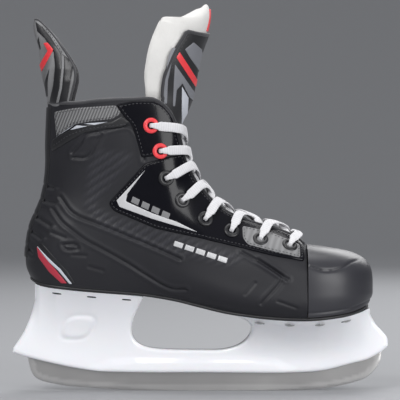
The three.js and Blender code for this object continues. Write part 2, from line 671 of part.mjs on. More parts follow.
// ---- Tongue: a felt pad under a stiff cover, split where it flexes at the ankle ----
const TONGUE_LINE = curveOf(graded([
  [89, 113.6], [80, 118.6], [70, 125], [55, 131], [40, 137], [25, 143.4], [12, 152.4], [1.2, 164], [-7, 176.6],
  [-13.4, 190], [-16.6, 203], [-14.4, 216.6],
]));
const SHAFT_LINE = curveOf(graded([
  [-14, 217.2], [-8, 229], [-3, 248], [0, 266], [4, 278], [8, 289], [10.6, 302], [10.2, 313],
]));
const THROAT = { half: 24.5, depth: 27, sweep: 0.78 };
const SHAFT_HALF = [[0, 26.5], [0.2, 27], [0.5, 33], [0.75, 31], [0.92, 24], [1, 13]];
const SHAFT_DEPTH = [[0, 40], [0.2, 42], [0.5, 44], [0.75, 42], [0.92, 30], [1, 12]];
const COVER_REACH = [[0, 0.74], [0.3, 0.72], [0.6, 0.68], [0.72, 0.6]];

// A point of the tongue: s along it, q from -1 to 1 across it, d proud of its outer face.
function tonguePoint(line, s, q, d, half, depth) {
  const front = line.getPointAt(s);
  const run = line.getTangentAt(s);
  const out = new THREE.Vector3(run.z, 0, -run.x);
  const turn = q * (Math.PI / 2);
  const p = front.addScaledVector(out, (depth + d) * Math.cos(turn) - depth);
  p.y = swing(p.x) + (half + d) * Math.sin(turn);
  return p;
}

function throatWall(inner, outer, sweep) {
  return wall((s, t, k) => tonguePoint(TONGUE_LINE, t, mix(-sweep, sweep, s), k ? outer : inner,
    THROAT.half * gradeY, THROAT.depth), 8, 12);
}

function shaftWall(inner, outer, top, sweep) {
  return wall((s, t, k) => {
    const at = t * top;
    const reach = typeof sweep === "number" ? sweep : along(sweep, at);
    return tonguePoint(SHAFT_LINE, at, mix(-reach, reach, s), k ? outer : inner,
      along(SHAFT_HALF, at) * gradeY, along(SHAFT_DEPTH, at) * gradeX);
  }, 12, 10);
}

const hingeZ = 216.6 * gradeZ;
const FLEX_REACH = 60;
const FLEX_DROP = 5;
const flexWedge = prism([
  [0, hingeZ], [-14 * gradeX, hingeZ], [-FLEX_REACH, hingeZ - FLEX_DROP], [-FLEX_REACH, CUFF_HEIGHT], [0, CUFF_HEIGHT],
], -BALL_WIDTH, BALL_WIDTH);
const FELT_OUT = -(TONGUE_COVER_WALL + FELT_GAP);
const FELT_IN = FELT_OUT - TONGUE_FELT_WALL;
place("tongue_cover_lower", throatWall(-TONGUE_COVER_WALL, 0, THROAT.sweep * 0.8).subtract(flexWedge), "shell");
place("tongue_felt_lower", throatWall(FELT_IN, FELT_OUT, THROAT.sweep).subtract(flexWedge), "felt");
place("tongue_cover_upper", shaftWall(-TONGUE_COVER_WALL, 0, 0.72, COVER_REACH), "shell");
place("tongue_felt_upper", shaftWall(FELT_IN, FELT_OUT, 1, 0.98), "felt");

// ---- Tendon guard: a shell with a soft pad, standing on the back of the cuff ----
const GUARD_REAR = graded([[-123.3, 233], [-127, 250], [-129, 260], [-131, 278], [-134.8, 297], [-134, 301]]);
const GUARD_FRONT = graded([
  [-103.6, 233], [-99.8, 250], [-99.8, 259], [-104, 268], [-112, 280], [-119, 289], [-128, 298], [-131.6, 301],
]);
const GUARD_HALF = [[28.5, 233], [28.5, 250], [26.5, 260], [19, 278], [9, 292], [3.5, 301]]
  .map(([w, z]) => [w * gradeY, z * gradeZ]);
const byHeight = (points, z) => along(points.map(([x, h]) => [h, x]), z);

function guardWall(inner, outer, top) {
  return wall((s, t, k) => {
    const z = mix(GUARD_BASE, top, t) * gradeZ;
    const deep = byHeight(GUARD_FRONT, z) - byHeight(GUARD_REAR, z);
    const half = byHeight(GUARD_HALF, z);
    const shrink = k ? outer : inner;
    const turn = mix(-1, 1, s) * (Math.PI / 2);
    const x = byHeight(GUARD_FRONT, z) - Math.max(deep - shrink, deep * 0.3) * Math.cos(turn);
    const y = Math.max(half - shrink, half * 0.3) * Math.sin(turn);
    return new THREE.Vector3(x, swing(x) + y, z);
  }, 12, 7);
}

const cuffZ = 233.4 * gradeZ;
const guardCut = prism([
  [-BOOT_LENGTH, 0], [0, 0], [0, cuffZ + 17.6], [-123 * gradeX, cuffZ], [-BOOT_LENGTH, cuffZ],
], -BALL_WIDTH, BALL_WIDTH);
place("tendon_guard", guardWall(GUARD_SHELL_WALL, 0, GUARD_TOP).subtract(guardCut), "shell");
const PAD_OUT = GUARD_SHELL_WALL + GAP * gradeX;
place("tendon_guard_pad", guardWall(PAD_OUT + GUARD_PAD_WALL, PAD_OUT, GUARD_PAD_TOP).subtract(guardCut), "liner");

// ---- Lace: one flat woven lace, straight across the lowest eyelets, then crossing up to the top ----
const LACE_HIGH = 1.9;
const UNDER = -(QUARTER_WALL + LACE_THICKNESS / 2 + 1.2);
const RIM_TOP = OVERLAY_TOP + GAP + EYELET_LIP;
const OUTSIDE = RIM_TOP + LACE_THICKNESS / 2 + 0.5;
const EDGE_LIFT = OVERLAY_TOP + LACE_THICKNESS / 2 + 2.1;
const CROSS_LIFT = 1 + GAP + LACE_THICKNESS / 2;

// The route of one half of the lace: up from the bar across the lowest pair, crossing at each pair.
function laceHalf(startSide, lift) {
  const stations = [];
  let side = startSide;
  for (let n = EYELET_SPOTS.length - 1; n >= 0; n--) {
    const e = eyelets[side][n];
    const edge = bootPoint(e.edgeA, 1);
    const down = e.at.clone().sub(edge);
    down.addScaledVector(e.normal, -down.dot(e.normal)).normalize();
    const across = down.clone().cross(e.normal).normalize();
    const near = (height, slide, width) => {
      const p = e.at.clone().addScaledVector(e.normal, height).addScaledVector(down, slide);
      stations.push({ p, across, width });
    };
    const over = edge.clone().addScaledVector(bootNormal(e.edgeA, 1), EDGE_LIFT);
    stations.push({ p: over, across, width: LACE_WIDTH });
    near(OUTSIDE, -EYELET_RIM - 1.4, LACE_WIDTH);
    near(OUTSIDE, -4.4, LACE_WIDTH * 0.7);
    near(RIM_TOP + 0.6, -0.5, LACE_PINCH);
    near(OVERLAY_TOP, 0.3, LACE_PINCH);
    near(-QUARTER_WALL - 0.8, 0, LACE_PINCH);
    if (n === 0) {
      near(UNDER - 1, 4, LACE_PINCH);
      near(UNDER - 2.4, 9, LACE_PINCH);
      break;
    }
    const next = eyelets[1 - side][n - 1];
    const middle = (Math.abs(e.edgeA) + Math.abs(next.edgeA)) / 2;
    const turn = mix(Math.abs(e.edgeA), middle, 0.4) * SIDES[side][1];
    const under = bootPoint(turn, 1).addScaledVector(bootNormal(turn, 1), UNDER);
    stations.push({ p: under, across, width: LACE_WIDTH * 0.8 });
    const centre = bootPoint(middle, 1).add(bootPoint(-middle, 1)).divideScalar(2);
    const run = bootPoint(middle - 0.01, 1).sub(bootPoint(middle + 0.01, 1)).normalize();
    const out = new THREE.Vector3(run.z, 0, -run.x);
    stations.push({ p: centre.addScaledVector(out, CROSS_LIFT + lift), across: run, width: LACE_WIDTH });
    side = 1 - side;
  }
  return stations;
}

const lowest = Math.abs(eyelets[0][EYELET_SPOTS.length - 1].edgeA);
const barMiddle = bootPoint(lowest, 1).add(bootPoint(-lowest, 1)).divideScalar(2);
barMiddle.z += CROSS_LIFT + LACE_HIGH;
const bar = { p: barMiddle, across: new THREE.Vector3(1, 0, 0), width: LACE_WIDTH };
const stations = [...laceHalf(0, 0).reverse(), bar, ...laceHalf(1, LACE_HIGH)];
for (let i = 1; i < stations.length; i++)
  if (stations[i].across.dot(stations[i - 1].across) < 0) stations[i].across.negate();

// Sweeps a flat section through the stations.
function ribbon(list, substeps) {
  const path = new THREE.CatmullRomCurve3(list.map((station) => station.p), false, "centripetal");
  const count = (list.length - 1) * substeps;
  const section = [[-0.5, -0.4], [-0.5, 0.4], [0, 0.5], [0.5, 0.4], [0.5, -0.4]];
  const points = [];
  for (let i = 0; i <= count; i++) {
    const t = i / count;
    const k = Math.min(list.length - 2, Math.floor(i / substeps));
    const f = i / substeps - k;
    const across = list[k].across.clone().lerp(list[k + 1].across, f);
    const run = path.getTangent(t);
    across.addScaledVector(run, -across.dot(run)).normalize();
    const up = run.clone().cross(across);
    const width = mix(list[k].width, list[k + 1].width, f);
    for (const [w, h] of section)
      points.push(path.getPoint(t).addScaledVector(across, w * width).addScaledVector(up, h * LACE_THICKNESS));
  }
  const n = section.length;
  const faces = [];
  for (let i = 0; i < count; i++)
    for (let j = 0; j < n; j++) {
      const [a, b] = [i * n + j, i * n + ((j + 1) % n)];
      faces.push(a, b, b + n, a, b + n, a + n);
    }
  const last = count * n;
  for (let j = 1; j < n - 1; j++) faces.push(0, j + 1, j, last, last + j, last + j + 1);
  return solidOf(points, faces);
}

place("lace", ribbon(stations, 2), "lace");

export default skate;
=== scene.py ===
"""An ice hockey skate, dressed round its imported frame: stiff laced boot, felt tongue, tendon guard,
white blade holder and steel runner. Sizes in this file are millimetres until a mesh is made."""

import json
import math

import bpy
import numpy as np
from bpy.props import FloatProperty, FloatVectorProperty, PointerProperty
from bpy.types import Operator, Panel, PropertyGroup
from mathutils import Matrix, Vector
from mathutils.geometry import delaunay_2d_cdt
from mathutils.kdtree import KDTree

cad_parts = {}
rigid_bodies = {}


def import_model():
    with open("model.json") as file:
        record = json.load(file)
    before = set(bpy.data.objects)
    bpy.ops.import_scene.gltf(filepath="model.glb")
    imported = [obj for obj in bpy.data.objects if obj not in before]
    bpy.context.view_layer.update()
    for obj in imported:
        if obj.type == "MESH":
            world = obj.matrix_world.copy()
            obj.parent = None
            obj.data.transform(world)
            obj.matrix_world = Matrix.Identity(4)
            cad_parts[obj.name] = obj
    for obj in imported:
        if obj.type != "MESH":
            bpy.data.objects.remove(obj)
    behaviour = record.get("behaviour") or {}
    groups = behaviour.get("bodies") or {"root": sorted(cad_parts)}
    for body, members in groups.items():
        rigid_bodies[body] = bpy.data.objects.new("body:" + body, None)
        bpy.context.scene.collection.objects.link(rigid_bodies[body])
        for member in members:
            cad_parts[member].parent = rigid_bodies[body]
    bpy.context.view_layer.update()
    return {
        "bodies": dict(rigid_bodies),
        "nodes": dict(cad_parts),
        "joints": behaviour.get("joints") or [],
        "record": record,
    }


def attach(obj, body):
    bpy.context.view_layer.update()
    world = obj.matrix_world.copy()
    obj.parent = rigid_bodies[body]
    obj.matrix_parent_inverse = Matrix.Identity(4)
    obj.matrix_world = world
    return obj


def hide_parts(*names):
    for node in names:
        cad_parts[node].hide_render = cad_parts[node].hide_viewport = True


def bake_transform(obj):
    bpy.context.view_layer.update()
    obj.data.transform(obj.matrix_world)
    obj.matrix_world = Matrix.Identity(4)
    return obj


bl_info = {
    "name": "Ice Hockey Skate",
    "version": (1, 0, 0),
    "blender": (4, 5, 0),
    "location": "3D View > Sidebar > Skate",
    "description": "Builds an ice hockey skate piece by piece on its packed frame",
    "category": "Add Mesh",
}

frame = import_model()
MM = 0.001
SIDES = (("lateral", -1), ("medial", 1))

# ---- Patterns in side view, [x, z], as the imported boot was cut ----
SOLE_LINE = [
    [-137.6, 90], [-129, 86.2], [-103, 82.6], [-78, 80.4], [-45.6, 77.6], [-20, 73.4], [0, 68.6],
    [20, 64], [41, 61], [61, 59.2], [85.6, 58.4], [102, 59.5], [122.4, 62.6], [138, 68]]
REAR_LINE = [
    [-137.6, 92.7], [-140.6, 100], [-141.4, 110.6], [-140.4, 121], [-137.8, 134], [-134, 143.5],
    [-129.5, 154], [-126.4, 166], [-124.6, 182], [-124.6, 200], [-123.3, 233]]
CUFF_LINE = [
    [-123.3, 233], [-100, 232.2], [-80, 234.2], [-54, 235.4], [-38, 235.6], [-30, 232], [-23, 225],
    [-18.8, 216]]
FACING_LINE = [
    [-18.8, 216], [-15, 203], [-12.4, 190], [-4, 172], [4, 161.6], [20, 147], [44, 137],
    [60, 132.4], [73, 127.5], [85.3, 119]]
RUNNER_BOTTOM = [
    [-139.6, 24.8], [-136.6, 14.6], [-132.5, 9.6], [-114, 4.4], [-78, 1.4], [-48, 0], [71, 0],
    [102, 1.8], [122.4, 5.9], [136.8, 11.5], [145.9, 22.8], [147.4, 31]]
RUNNER_SEAT = [
    [146, 33], [140, 34.6], [122, 28.8], [102, 23.8], [81, 22], [-58, 22], [-88, 23.6], [-119, 29],
    [-138.6, 33.6]]
HOLDER_BOTTOM = [
    [-152.4, 31], [-142.6, 27.8], [-119, 21.8], [-88.6, 16.2], [-58, 14.8], [0, 14.6], [81.6, 14.6],
    [102, 16.6], [122.4, 21.8], [135.7, 25.3], [147, 31.4]]
HOLDER_FRONT = [[152.4, 36], [152, 42.4], [147.2, 48.8], [142.4, 54], [137.6, 63], [137, 69]]
HOLDER_REAR = [[-133.4, 90], [-133.6, 74], [-138.4, 58], [-144, 46], [-151.6, 34.6]]
WINDOW = [
    [-46, 76], [-51, 65], [-55, 54], [-54.6, 45], [-50, 38.4], [-40, 34.8], [0, 33.2], [20, 33.8],
    [32, 37.6], [39, 44], [41.4, 51], [38.6, 57], [31, 60.8]]
FLANGE_PLAN = [
    [-136, 9], [-130, 19], [-116, 25.5], [-88, 27.5], [-60, 26], [-44, 24], [30, 28], [46, 34],
    [70, 38], [95, 38], [115, 33], [130, 23], [139, 12]]
LINER_LINE = [
    [-58, 232], [-54, 206], [-46, 180], [-36, 160], [-20, 138], [4, 122], [40, 110], [78, 102]]
EYELET_SPOTS = [
    [-39.2, 214.3], [-31.8, 194], [-27.2, 172.4], [-14.5, 154.8], [3.9, 139.4], [25, 129.8],
    [48.2, 123], [71.4, 118]]
EDGE_SPOTS = [
    [-17.4, 211.5], [-13.4, 195], [-9, 182.5], [0, 166.6], [13, 153], [31, 143], [55, 133.8],
    [77, 125]]
TONGUE_LINE = [
    [89, 113.6], [80, 118.6], [70, 125], [55, 131], [40, 137], [25, 143.4], [12, 152.4],
    [1.2, 164], [-7, 176.6], [-13.4, 190], [-16.6, 203], [-14.4, 216.6], [-8, 229], [-3, 248],
    [0, 266], [4, 278], [8, 289], [10.6, 302], [10.2, 313]]
GUARD_REAR = [
    [-121.4, 226], [-123.3, 234], [-127, 250], [-129, 260], [-131, 278], [-134.8, 297], [-134, 301]]
GUARD_FRONT = [
    [-104, 226], [-103.6, 234], [-99.8, 250], [-99.8, 259], [-104, 268], [-112, 280], [-119, 289],
    [-128, 298], [-131.6, 301]]
GUARD_HALF = [[26, 226], [28.5, 234], [28.5, 250], [26.5, 260], [19, 278], [9, 292], [3.5, 301]]

# ---- Walls and layers, as packed ----
GAP, SOLE_STACK, QUARTER_WALL, OVERLAY_TOP = 0.3, 2.7, 2.6, 1.4
TOE_SWING, SWING_BALANCE = 4.0, 0.53
LACE_WIDTH, LACE_THICKNESS, LACE_PINCH, LACE_HIGH = 7.5, 1.6, 3.6, 1.9

# ---- Relief drawn on the boot, the tongue and the guard, [x, z] ----
SIDE_GROOVES = [
    [[-112, 157.2], [-104, 146.4], [-97.6, 142], [-84.3, 136.8], [-64.4, 128.8], [-40, 118.7],
     [-16, 108]],
    [[-118.4, 148], [-110.8, 137.6], [-102.9, 131.2], [-91.2, 122.7], [-77.6, 115.4],
     [-57.6, 104], [-44, 95.2], [-24, 84], [-11.2, 83.2]],
    [[-102, 193], [-96, 199.5], [-91.4, 206.6], [-80, 209.5], [-56, 214], [-50, 208],
     [-46, 196], [-45, 187]],
    [[-101.6, 188.8], [-90, 189.6], [-78.7, 207.2]],
    [[33.6, 113.6], [61.2, 97.6], [65.3, 93.2], [48.8, 72.8]],
    [[47, 107.5], [69.4, 92.2]],
    [[-118.5, 128.8], [-108, 124.8]],
    [[-109.6, 119.2], [-99.2, 119.2], [-97.6, 116], [-107.5, 116], [-109.6, 119.2]],
    [[-101.6, 111.2], [-91.2, 110.4]],
    [[-88.8, 101.6], [-77.6, 98.4]],
    [[43.8, 89.1], [36, 80]],
    [[62.2, 74.4], [76.6, 69.2]],
]
HEEL_CREASES = [
    [[-131, 167.4], [-118.4, 164.4]], [[-134, 156], [-117.1, 152.5]],
    [[-137, 143.8], [-120.3, 134.4]], [[-140, 131.4], [-128, 124]],
    [[-143, 118], [-135, 112]]]
COLLAR_OUTLINE = [
    [-67, 231.2], [-60.5, 221.5], [-54, 214.6], [-50.6, 203], [-46.6, 188.6], [-14.6, 193.4],
    [-18.6, 206], [-20.6, 215.6], [-24, 223.6], [-30.4, 230.8], [-38, 234.2], [-52, 234.2]]
MESH_OUTLINE = [
    [-117, 225.6], [-101, 228.4], [-67, 230.6], [-62.6, 224], [-70, 219.4], [-86, 217.8],
    [-101, 215], [-115, 205.4]]
TOP_BAND = [
    [-119, 203], [-100, 213], [-86, 216], [-70, 217.6], [-62, 222.4], [-56, 217.2], [-62, 213.2],
    [-76, 211.6], [-92, 208.6], [-104, 202], [-119, 193.5]]
SLIVERS = [
    [[-115.2, 205.2], [-98.8, 216], [-104, 212]], [[-103.4, 210.8], [-89.6, 213.9], [-98, 214.6]],
    [[-92.8, 216], [-73.3, 217.4], [-84, 214.8]]]
V_STRIPE = [
    [-42.7, 180], [-66.5, 154.6], [-64.2, 149.6], [-39, 140.4], [-1.5, 129], [-19, 137.9],
    [-38, 144.6], [-59, 154], [-57.8, 160]]
CORD_PANEL = [
    [33.6, 133.4], [56, 128.4], [79.4, 118.4], [79.6, 108.2], [60, 113], [38, 118.8], [34, 124]]
HEEL_WEDGE = [[-131, 117.5], [-118.5, 103], [-106.5, 88.2], [-111, 88.2], [-121, 97.5],
              [-129.6, 109]]
HEEL_STRIPE = [[-130.8, 118], [-120, 107.4], [-111.5, 99.8], [-102.4, 87.8], [-104.6, 87.8],
               [-113, 98.2], [-121, 105.6]]
HEEL_REVEAL = [[-128.6, 122.6], [-117, 109.8], [-106, 97.8], [-100.2, 88.2], [-102, 88.2],
               [-111.2, 100.3], [-119.6, 108], [-130, 118.6]]
TONGUE_ARTWORK = {
    "grey_blue": [
        [[-30.2, 232], [-26.4, 232], [-25.6, 250], [-22.6, 265], [-18.6, 276], [-21.6, 277],
         [-25.4, 269.6], [-28.4, 255]],
        [[-12, 275.6], [-8, 269], [0.4, 257.6], [3.4, 264], [1.6, 276], [-5, 281.4]],
        [[-20, 263.6], [-12, 252.4], [-3.6, 240.6], [-4, 233.6], [-8.4, 237.4], [-14, 248.4],
         [-18.6, 243], [-20, 230], [-21.8, 230], [-21, 250]]],
    "red": [
        [[-19, 269], [-16.2, 273.4], [-1.4, 250.8], [-3.2, 245.6]]],
    "pale": [
        [[-14.4, 246], [-9.2, 237], [-9.8, 226], [-12.4, 210], [-14.8, 210], [-14.6, 233]]],
}
GUARD_ARTWORK = {
    "dark": [
        [[-133, 298.6], [-127.1, 294.4], [-120.3, 286.3], [-111.3, 272.5], [-110.8, 260.7],
         [-112.5, 244.4], [-115.5, 232.5], [-121.5, 232.5], [-117.8, 246.9], [-116.3, 261.9],
         [-117.5, 273.2], [-125.3, 285], [-131.5, 290.7]],
        [[-109, 271.3], [-101.8, 264.7], [-101.8, 259.4], [-106.5, 232.5], [-113.3, 232.5],
         [-110.5, 244.4], [-108.9, 260.7]],
        [[-121, 260.6], [-125.4, 249.4], [-124.6, 238], [-122.8, 238], [-122.6, 249]],
        [[-130.3, 286.9], [-128.4, 276.9], [-129.2, 275.4], [-131.4, 283]]],
    "red": [
        [[-126, 281], [-122.6, 281.4], [-117.6, 275.6], [-127.6, 258.2], [-129.6, 263.6],
         [-122.4, 274.6]]],
}


# ---- Settings a maker would change ----
class SkateColours(PropertyGroup):
    """Colours of the skate's finishes."""
    shell: FloatVectorProperty(
        name="Boot shell", description="Matt moulded side panels and toe cap", subtype="COLOR",
        size=3, min=0, max=1, default=(0.021, 0.021, 0.026))
    patent: FloatVectorProperty(
        name="Patent trim", description="Glossy eyestay and collar", subtype="COLOR", size=3,
        min=0, max=1, default=(0.0035, 0.0035, 0.006))
    grey: FloatVectorProperty(
        name="Grey trim", description="Mesh insert and satin panels", subtype="COLOR", size=3,
        min=0, max=1, default=(0.20, 0.20, 0.205))
    red: FloatVectorProperty(
        name="Accent", description="Top eyelets, chevrons and heel wedge", subtype="COLOR", size=3,
        min=0, max=1, default=(0.78, 0.045, 0.055))
    holder: FloatVectorProperty(
        name="Blade holder", description="Glossy nylon of the blade holder", subtype="COLOR",
        size=3, min=0, max=1, default=(0.92, 0.925, 0.96))
    felt: FloatVectorProperty(
        name="Tongue felt", description="Thick pale felt of the tongue", subtype="COLOR", size=3,
        min=0, max=1, default=(0.72, 0.71, 0.69))
    lace: FloatVectorProperty(
        name="Lace", description="Flat woven lace", subtype="COLOR", size=3, min=0, max=1,
        default=(0.76, 0.755, 0.775))
    steel: FloatVectorProperty(
        name="Runner steel", description="Ground stainless steel", subtype="COLOR", size=3, min=0,
        max=1, default=(0.56, 0.55, 0.54))


class SkateSizes(PropertyGroup):
    """Sizes of the skate's finer pieces, in metres."""
    stitch_length: FloatProperty(
        name="Stitch length", description="Length of one stitch", unit="LENGTH", default=0.0019,
        min=0.0005, max=0.005)
    stitch_pitch: FloatProperty(
        name="Stitch pitch", description="Distance from one stitch to the next", unit="LENGTH",
        default=0.0030, min=0.001, max=0.01)
    thread: FloatProperty(
        name="Thread", description="Thickness of the sewing thread", unit="LENGTH",
        default=0.0007, min=0.0002, max=0.002)
    binding: FloatProperty(
        name="Cuff binding", description="Radius of the rolled edge round the cuff",
        unit="LENGTH", default=0.0024, min=0.001, max=0.005)
    eyelet: FloatProperty(
        name="Eyelet", description="Outer radius of an eyelet's rim", unit="LENGTH",
        default=0.0063, min=0.003, max=0.009)
    rivet: FloatProperty(
        name="Rivet", description="Radius of a rivet's head", unit="LENGTH", default=0.0040,
        min=0.002, max=0.006)


# ---- Curves and tables ----
def smooth(t):
    t = np.clip(t, 0, 1)
    return t * t * (3 - 2 * t)


def mix(a, b, t):
    return a + (b - a) * t


def unit(vectors):
    """The vectors made one long."""
    return vectors / np.maximum(np.linalg.norm(vectors, axis=-1, keepdims=True), 1e-9)


def inward(loop):
    """The direction into a closed outline at each of its points."""
    run = np.roll(loop, -1, 0) - np.roll(loop, 1, 0)
    area = np.sum(loop[:, 0] * np.roll(loop[:, 1], -1) - loop[:, 1] * np.roll(loop[:, 0], -1))
    return unit(np.stack([-run[:, 1], run[:, 0]], 1) * math.copysign(1, area))


def matched(a, b):
    """Two arrays of numbers of one shape."""
    return np.broadcast_arrays(np.atleast_1d(a).astype(float), np.atleast_1d(b).astype(float))


def along(points, x):
    """The value of [[x, value], ...] at x, straight between its points."""
    table = np.array(points, float)
    return np.interp(x, table[:, 0], table[:, 1])


class Curve:
    """A smooth curve through points, walked by its length from 0 to 1."""

    def __init__(self, points, per_span=40):
        knots = np.array(points, float)
        first, last = 2 * knots[0] - knots[1], 2 * knots[-1] - knots[-2]
        knots = np.vstack([first, knots, last])
        steps = np.linalg.norm(np.diff(knots, axis=0), axis=1) ** 0.5
        spans = []
        for i in range(1, len(knots) - 2):
            spans.append(self._span(knots[i - 1:i + 3], steps[i - 1:i + 2], per_span))
        self.points = np.vstack([*spans, knots[-2:-1]])
        lengths = np.linalg.norm(np.diff(self.points, axis=0), axis=1)
        self.at_length = np.concatenate([[0], np.cumsum(lengths)])
        self.length = self.at_length[-1]
        self.at_length /= self.length

    @staticmethod
    def _span(p, d, count):
        before = (p[1] - p[0]) / d[0] - (p[2] - p[0]) / (d[0] + d[1]) + (p[2] - p[1]) / d[1]
        after = (p[2] - p[1]) / d[1] - (p[3] - p[1]) / (d[1] + d[2]) + (p[3] - p[2]) / d[2]
        t = np.linspace(0, 1, count, endpoint=False)[:, None]
        start, end = before * d[1], after * d[1]
        return ((2 * t**3 - 3 * t**2 + 1) * p[1] + (t**3 - 2 * t**2 + t) * start
                + (3 * t**2 - 2 * t**3) * p[2] + (t**3 - t**2) * end)

    def at(self, u):
        u = np.clip(u, 0, 1)
        axes = [np.interp(u, self.at_length, self.points[:, k]) for k in
                range(self.points.shape[1])]
        return np.stack(axes, -1)

    def tangent(self, u, step=0.004):
        run = self.at(np.clip(u + step, 0, 1)) - self.at(np.clip(u - step, 0, 1))
        return unit(run)


def closed_outline(points, spacing, corner=1.6):
    """An outline with its corners rounded off and its edges cut to a spacing."""
    loop = np.array(points, float)
    eased = []
    for before, p, after in zip(np.roll(loop, 1, 0), loop, np.roll(loop, -1, 0)):
        back, ahead = before - p, after - p
        reach = min(corner, 0.45 * np.linalg.norm(back), 0.45 * np.linalg.norm(ahead))
        start = p + back / np.linalg.norm(back) * reach
        end = p + ahead / np.linalg.norm(ahead) * reach
        eased += [mix(mix(start, p, t), mix(p, end, t), t) for t in (0, 0.25, 0.5, 0.75, 1)]
    kept = []
    for a, b in zip(eased, eased[1:] + eased[:1]):
        count = max(1, int(math.ceil(np.linalg.norm(b - a) / spacing)))
        for i in range(count):
            p = a + (b - a) * i / count
            if not kept or np.linalg.norm(p - kept[-1]) > 0.12:
                kept.append(p)
    if np.linalg.norm(kept[0] - kept[-1]) < 0.12:
        kept.pop()
    return np.array(kept)


def spline_rows(knots, values):
    """Values of a natural cubic through each column of a table, as a function of the place."""
    x = np.array(knots, float)
    y = np.array(values, float)
    n, h = len(x), np.diff(x)
    system, right = np.eye(n), np.zeros_like(y)
    for i in range(1, n - 1):
        system[i, i - 1:i + 2] = h[i - 1], 2 * (h[i - 1] + h[i]), h[i]
        right[i] = 6 * ((y[i + 1] - y[i]) / h[i] - (y[i] - y[i - 1]) / h[i - 1])
    bend = np.linalg.solve(system, right)

    def value(t):
        t = np.clip(t, x[0], x[-1])
        i = np.clip(np.searchsorted(x, t) - 1, 0, n - 2)
        a, b = x[i + 1] - t, t - x[i]
        if y.ndim == 2:
            a, b, w = a[:, None], b[:, None], h[i][:, None]
        else:
            w = h[i]
        return ((bend[i] * a**3 + bend[i + 1] * b**3) / (6 * w)
                + (y[i] / w - bend[i] * w / 6) * a + (y[i + 1] / w - bend[i + 1] * w / 6) * b)
    return value


def distance_to(points, line):
    """Shortest distance from each point to a polyline, in side view."""
    best = np.full(len(points), 1e9)
    line = np.array(line, float)
    for a, b in zip(line[:-1], line[1:]):
        run = b - a
        t = np.clip((points - a) @ run / max(run @ run, 1e-9), 0, 1)
        best = np.minimum(best, np.linalg.norm(points - a - t[:, None] * run, axis=1))
    return best


def inside(points, outline):
    """Which points lie inside an outline."""
    x, z = points[:, 0], points[:, 1]
    found = np.zeros(len(points), bool)
    for (x0, z0), (x1, z1) in zip(outline, np.roll(outline, -1, 0)):
        crosses = (z0 > z) != (z1 > z)
        at = (x1 - x0) * (z - z0) / np.where(abs(z1 - z0) < 1e-9, 1e-9, z1 - z0) + x0
        found ^= crosses & (x < at)
    return found


def swing(x):
    return TOE_SWING * (smooth((x - 10) / 130) - SWING_BALANCE)


# ---- Surfaces: each gives points for two coordinates ----
class Surface:
    """A smooth sheet with points for (a, b), a normal that faces out, and a side-view lookup."""

    def __init__(self, point, low, high, facing=1):
        self.point, self.low, self.high, self.facing = point, np.array(low), np.array(high), facing

    def normal(self, a, b):
        steps = (self.high - self.low) * 0.002
        a0, a1 = (np.clip(a + k * steps[0], self.low[0], self.high[0]) for k in (-1, 1))
        b0, b1 = (np.clip(b + k * steps[1], self.low[1], self.high[1]) for k in (-1, 1))
        across = self.point(a1, b) - self.point(a0, b)
        up = self.point(a, b1) - self.point(a, b0)
        return unit(np.cross(up, across) * self.facing)

    def offset(self, a, b, d):
        return self.point(a, b) + self.normal(a, b) * np.reshape(d, (-1, 1))

    def locate(self, points, side, a_range):
        """(a, b) of the side-view points, on the side where a has that sign."""
        ga, gb = np.meshgrid(np.linspace(*a_range, 70), np.linspace(self.low[1], self.high[1], 50))
        ga, gb = ga.ravel(), gb.ravel()
        grid = self.point(side * ga, gb)
        tree = KDTree(len(ga))
        for i, p in enumerate(grid):
            tree.insert((p[0], p[2], 0), i)
        tree.balance()
        near = [tree.find((x, z, 0))[1] for x, z in points]
        a, b = ga[near], gb[near]
        h = (self.high - self.low) * 0.001
        for _ in range(12):
            p = self.point(side * a, b)
            back = np.where(b > self.high[1] - 2 * h[1], -1, 1) * h[1]
            pa = (self.point(side * (a + h[0]), b) - p) / h[0]
            pb = (self.point(side * a, b + back) - p) / back[:, None]
            dx, dz = points[:, 0] - p[:, 0], points[:, 1] - p[:, 2]
            det = pa[:, 0] * pb[:, 2] - pa[:, 2] * pb[:, 0]
            det = np.where(abs(det) < 1e-6, 1e-6, det)
            a = np.clip(a + np.clip((dx * pb[:, 2] - dz * pb[:, 0]) / det, -0.1, 0.1), *a_range)
            step = np.clip((pa[:, 0] * dz - pa[:, 2] * dx) / det, -0.1, 0.1)
            b = np.clip(b + step, self.low[1], self.high[1])
        return side * a, b


HEEL_SPAN, HEEL_TURN, CUFF_SPAN = 0.15, 0.217, 0.36
WIDTH_HEIGHTS = [0, 0.12, 0.3, 0.5, 0.75, 1]
WIDTH_STATIONS = [0, 0.17, 0.35, 0.5, 0.65, 0.82, 1]
HALF_WIDTHS = [
    [27, 31, 32, 30, 34, 38], [28, 32.5, 34, 33, 36.5, 38.5], [27, 32, 35.5, 36.5, 35.5, 29],
    [27, 33, 36, 36, 32, 22.5], [32, 38.5, 39.5, 38, 32, 20], [39, 45, 45.5, 43.5, 36, 19],
    [42, 46, 46.5, 45, 39.5, 19]]
sole_curve = Curve([p for p in SOLE_LINE if p[0] < 86])
rear_curve, cuff_curve, facing_curve = Curve(REAR_LINE), Curve(CUFF_LINE), Curve(FACING_LINE)
width_up = spline_rows(WIDTH_HEIGHTS, np.array(HALF_WIDTHS).T)
width_basis = spline_rows(WIDTH_STATIONS, np.eye(len(WIDTH_STATIONS)))
STACK = np.array([0, SOLE_STACK])
HEEL_CORNER, CUFF_CORNER = rear_curve.at(0.0), rear_curve.at(1.0)
TOE_TOP_CORNER, TOE_SOLE_CORNER = facing_curve.at(1.0), sole_curve.at(1.0) + STACK


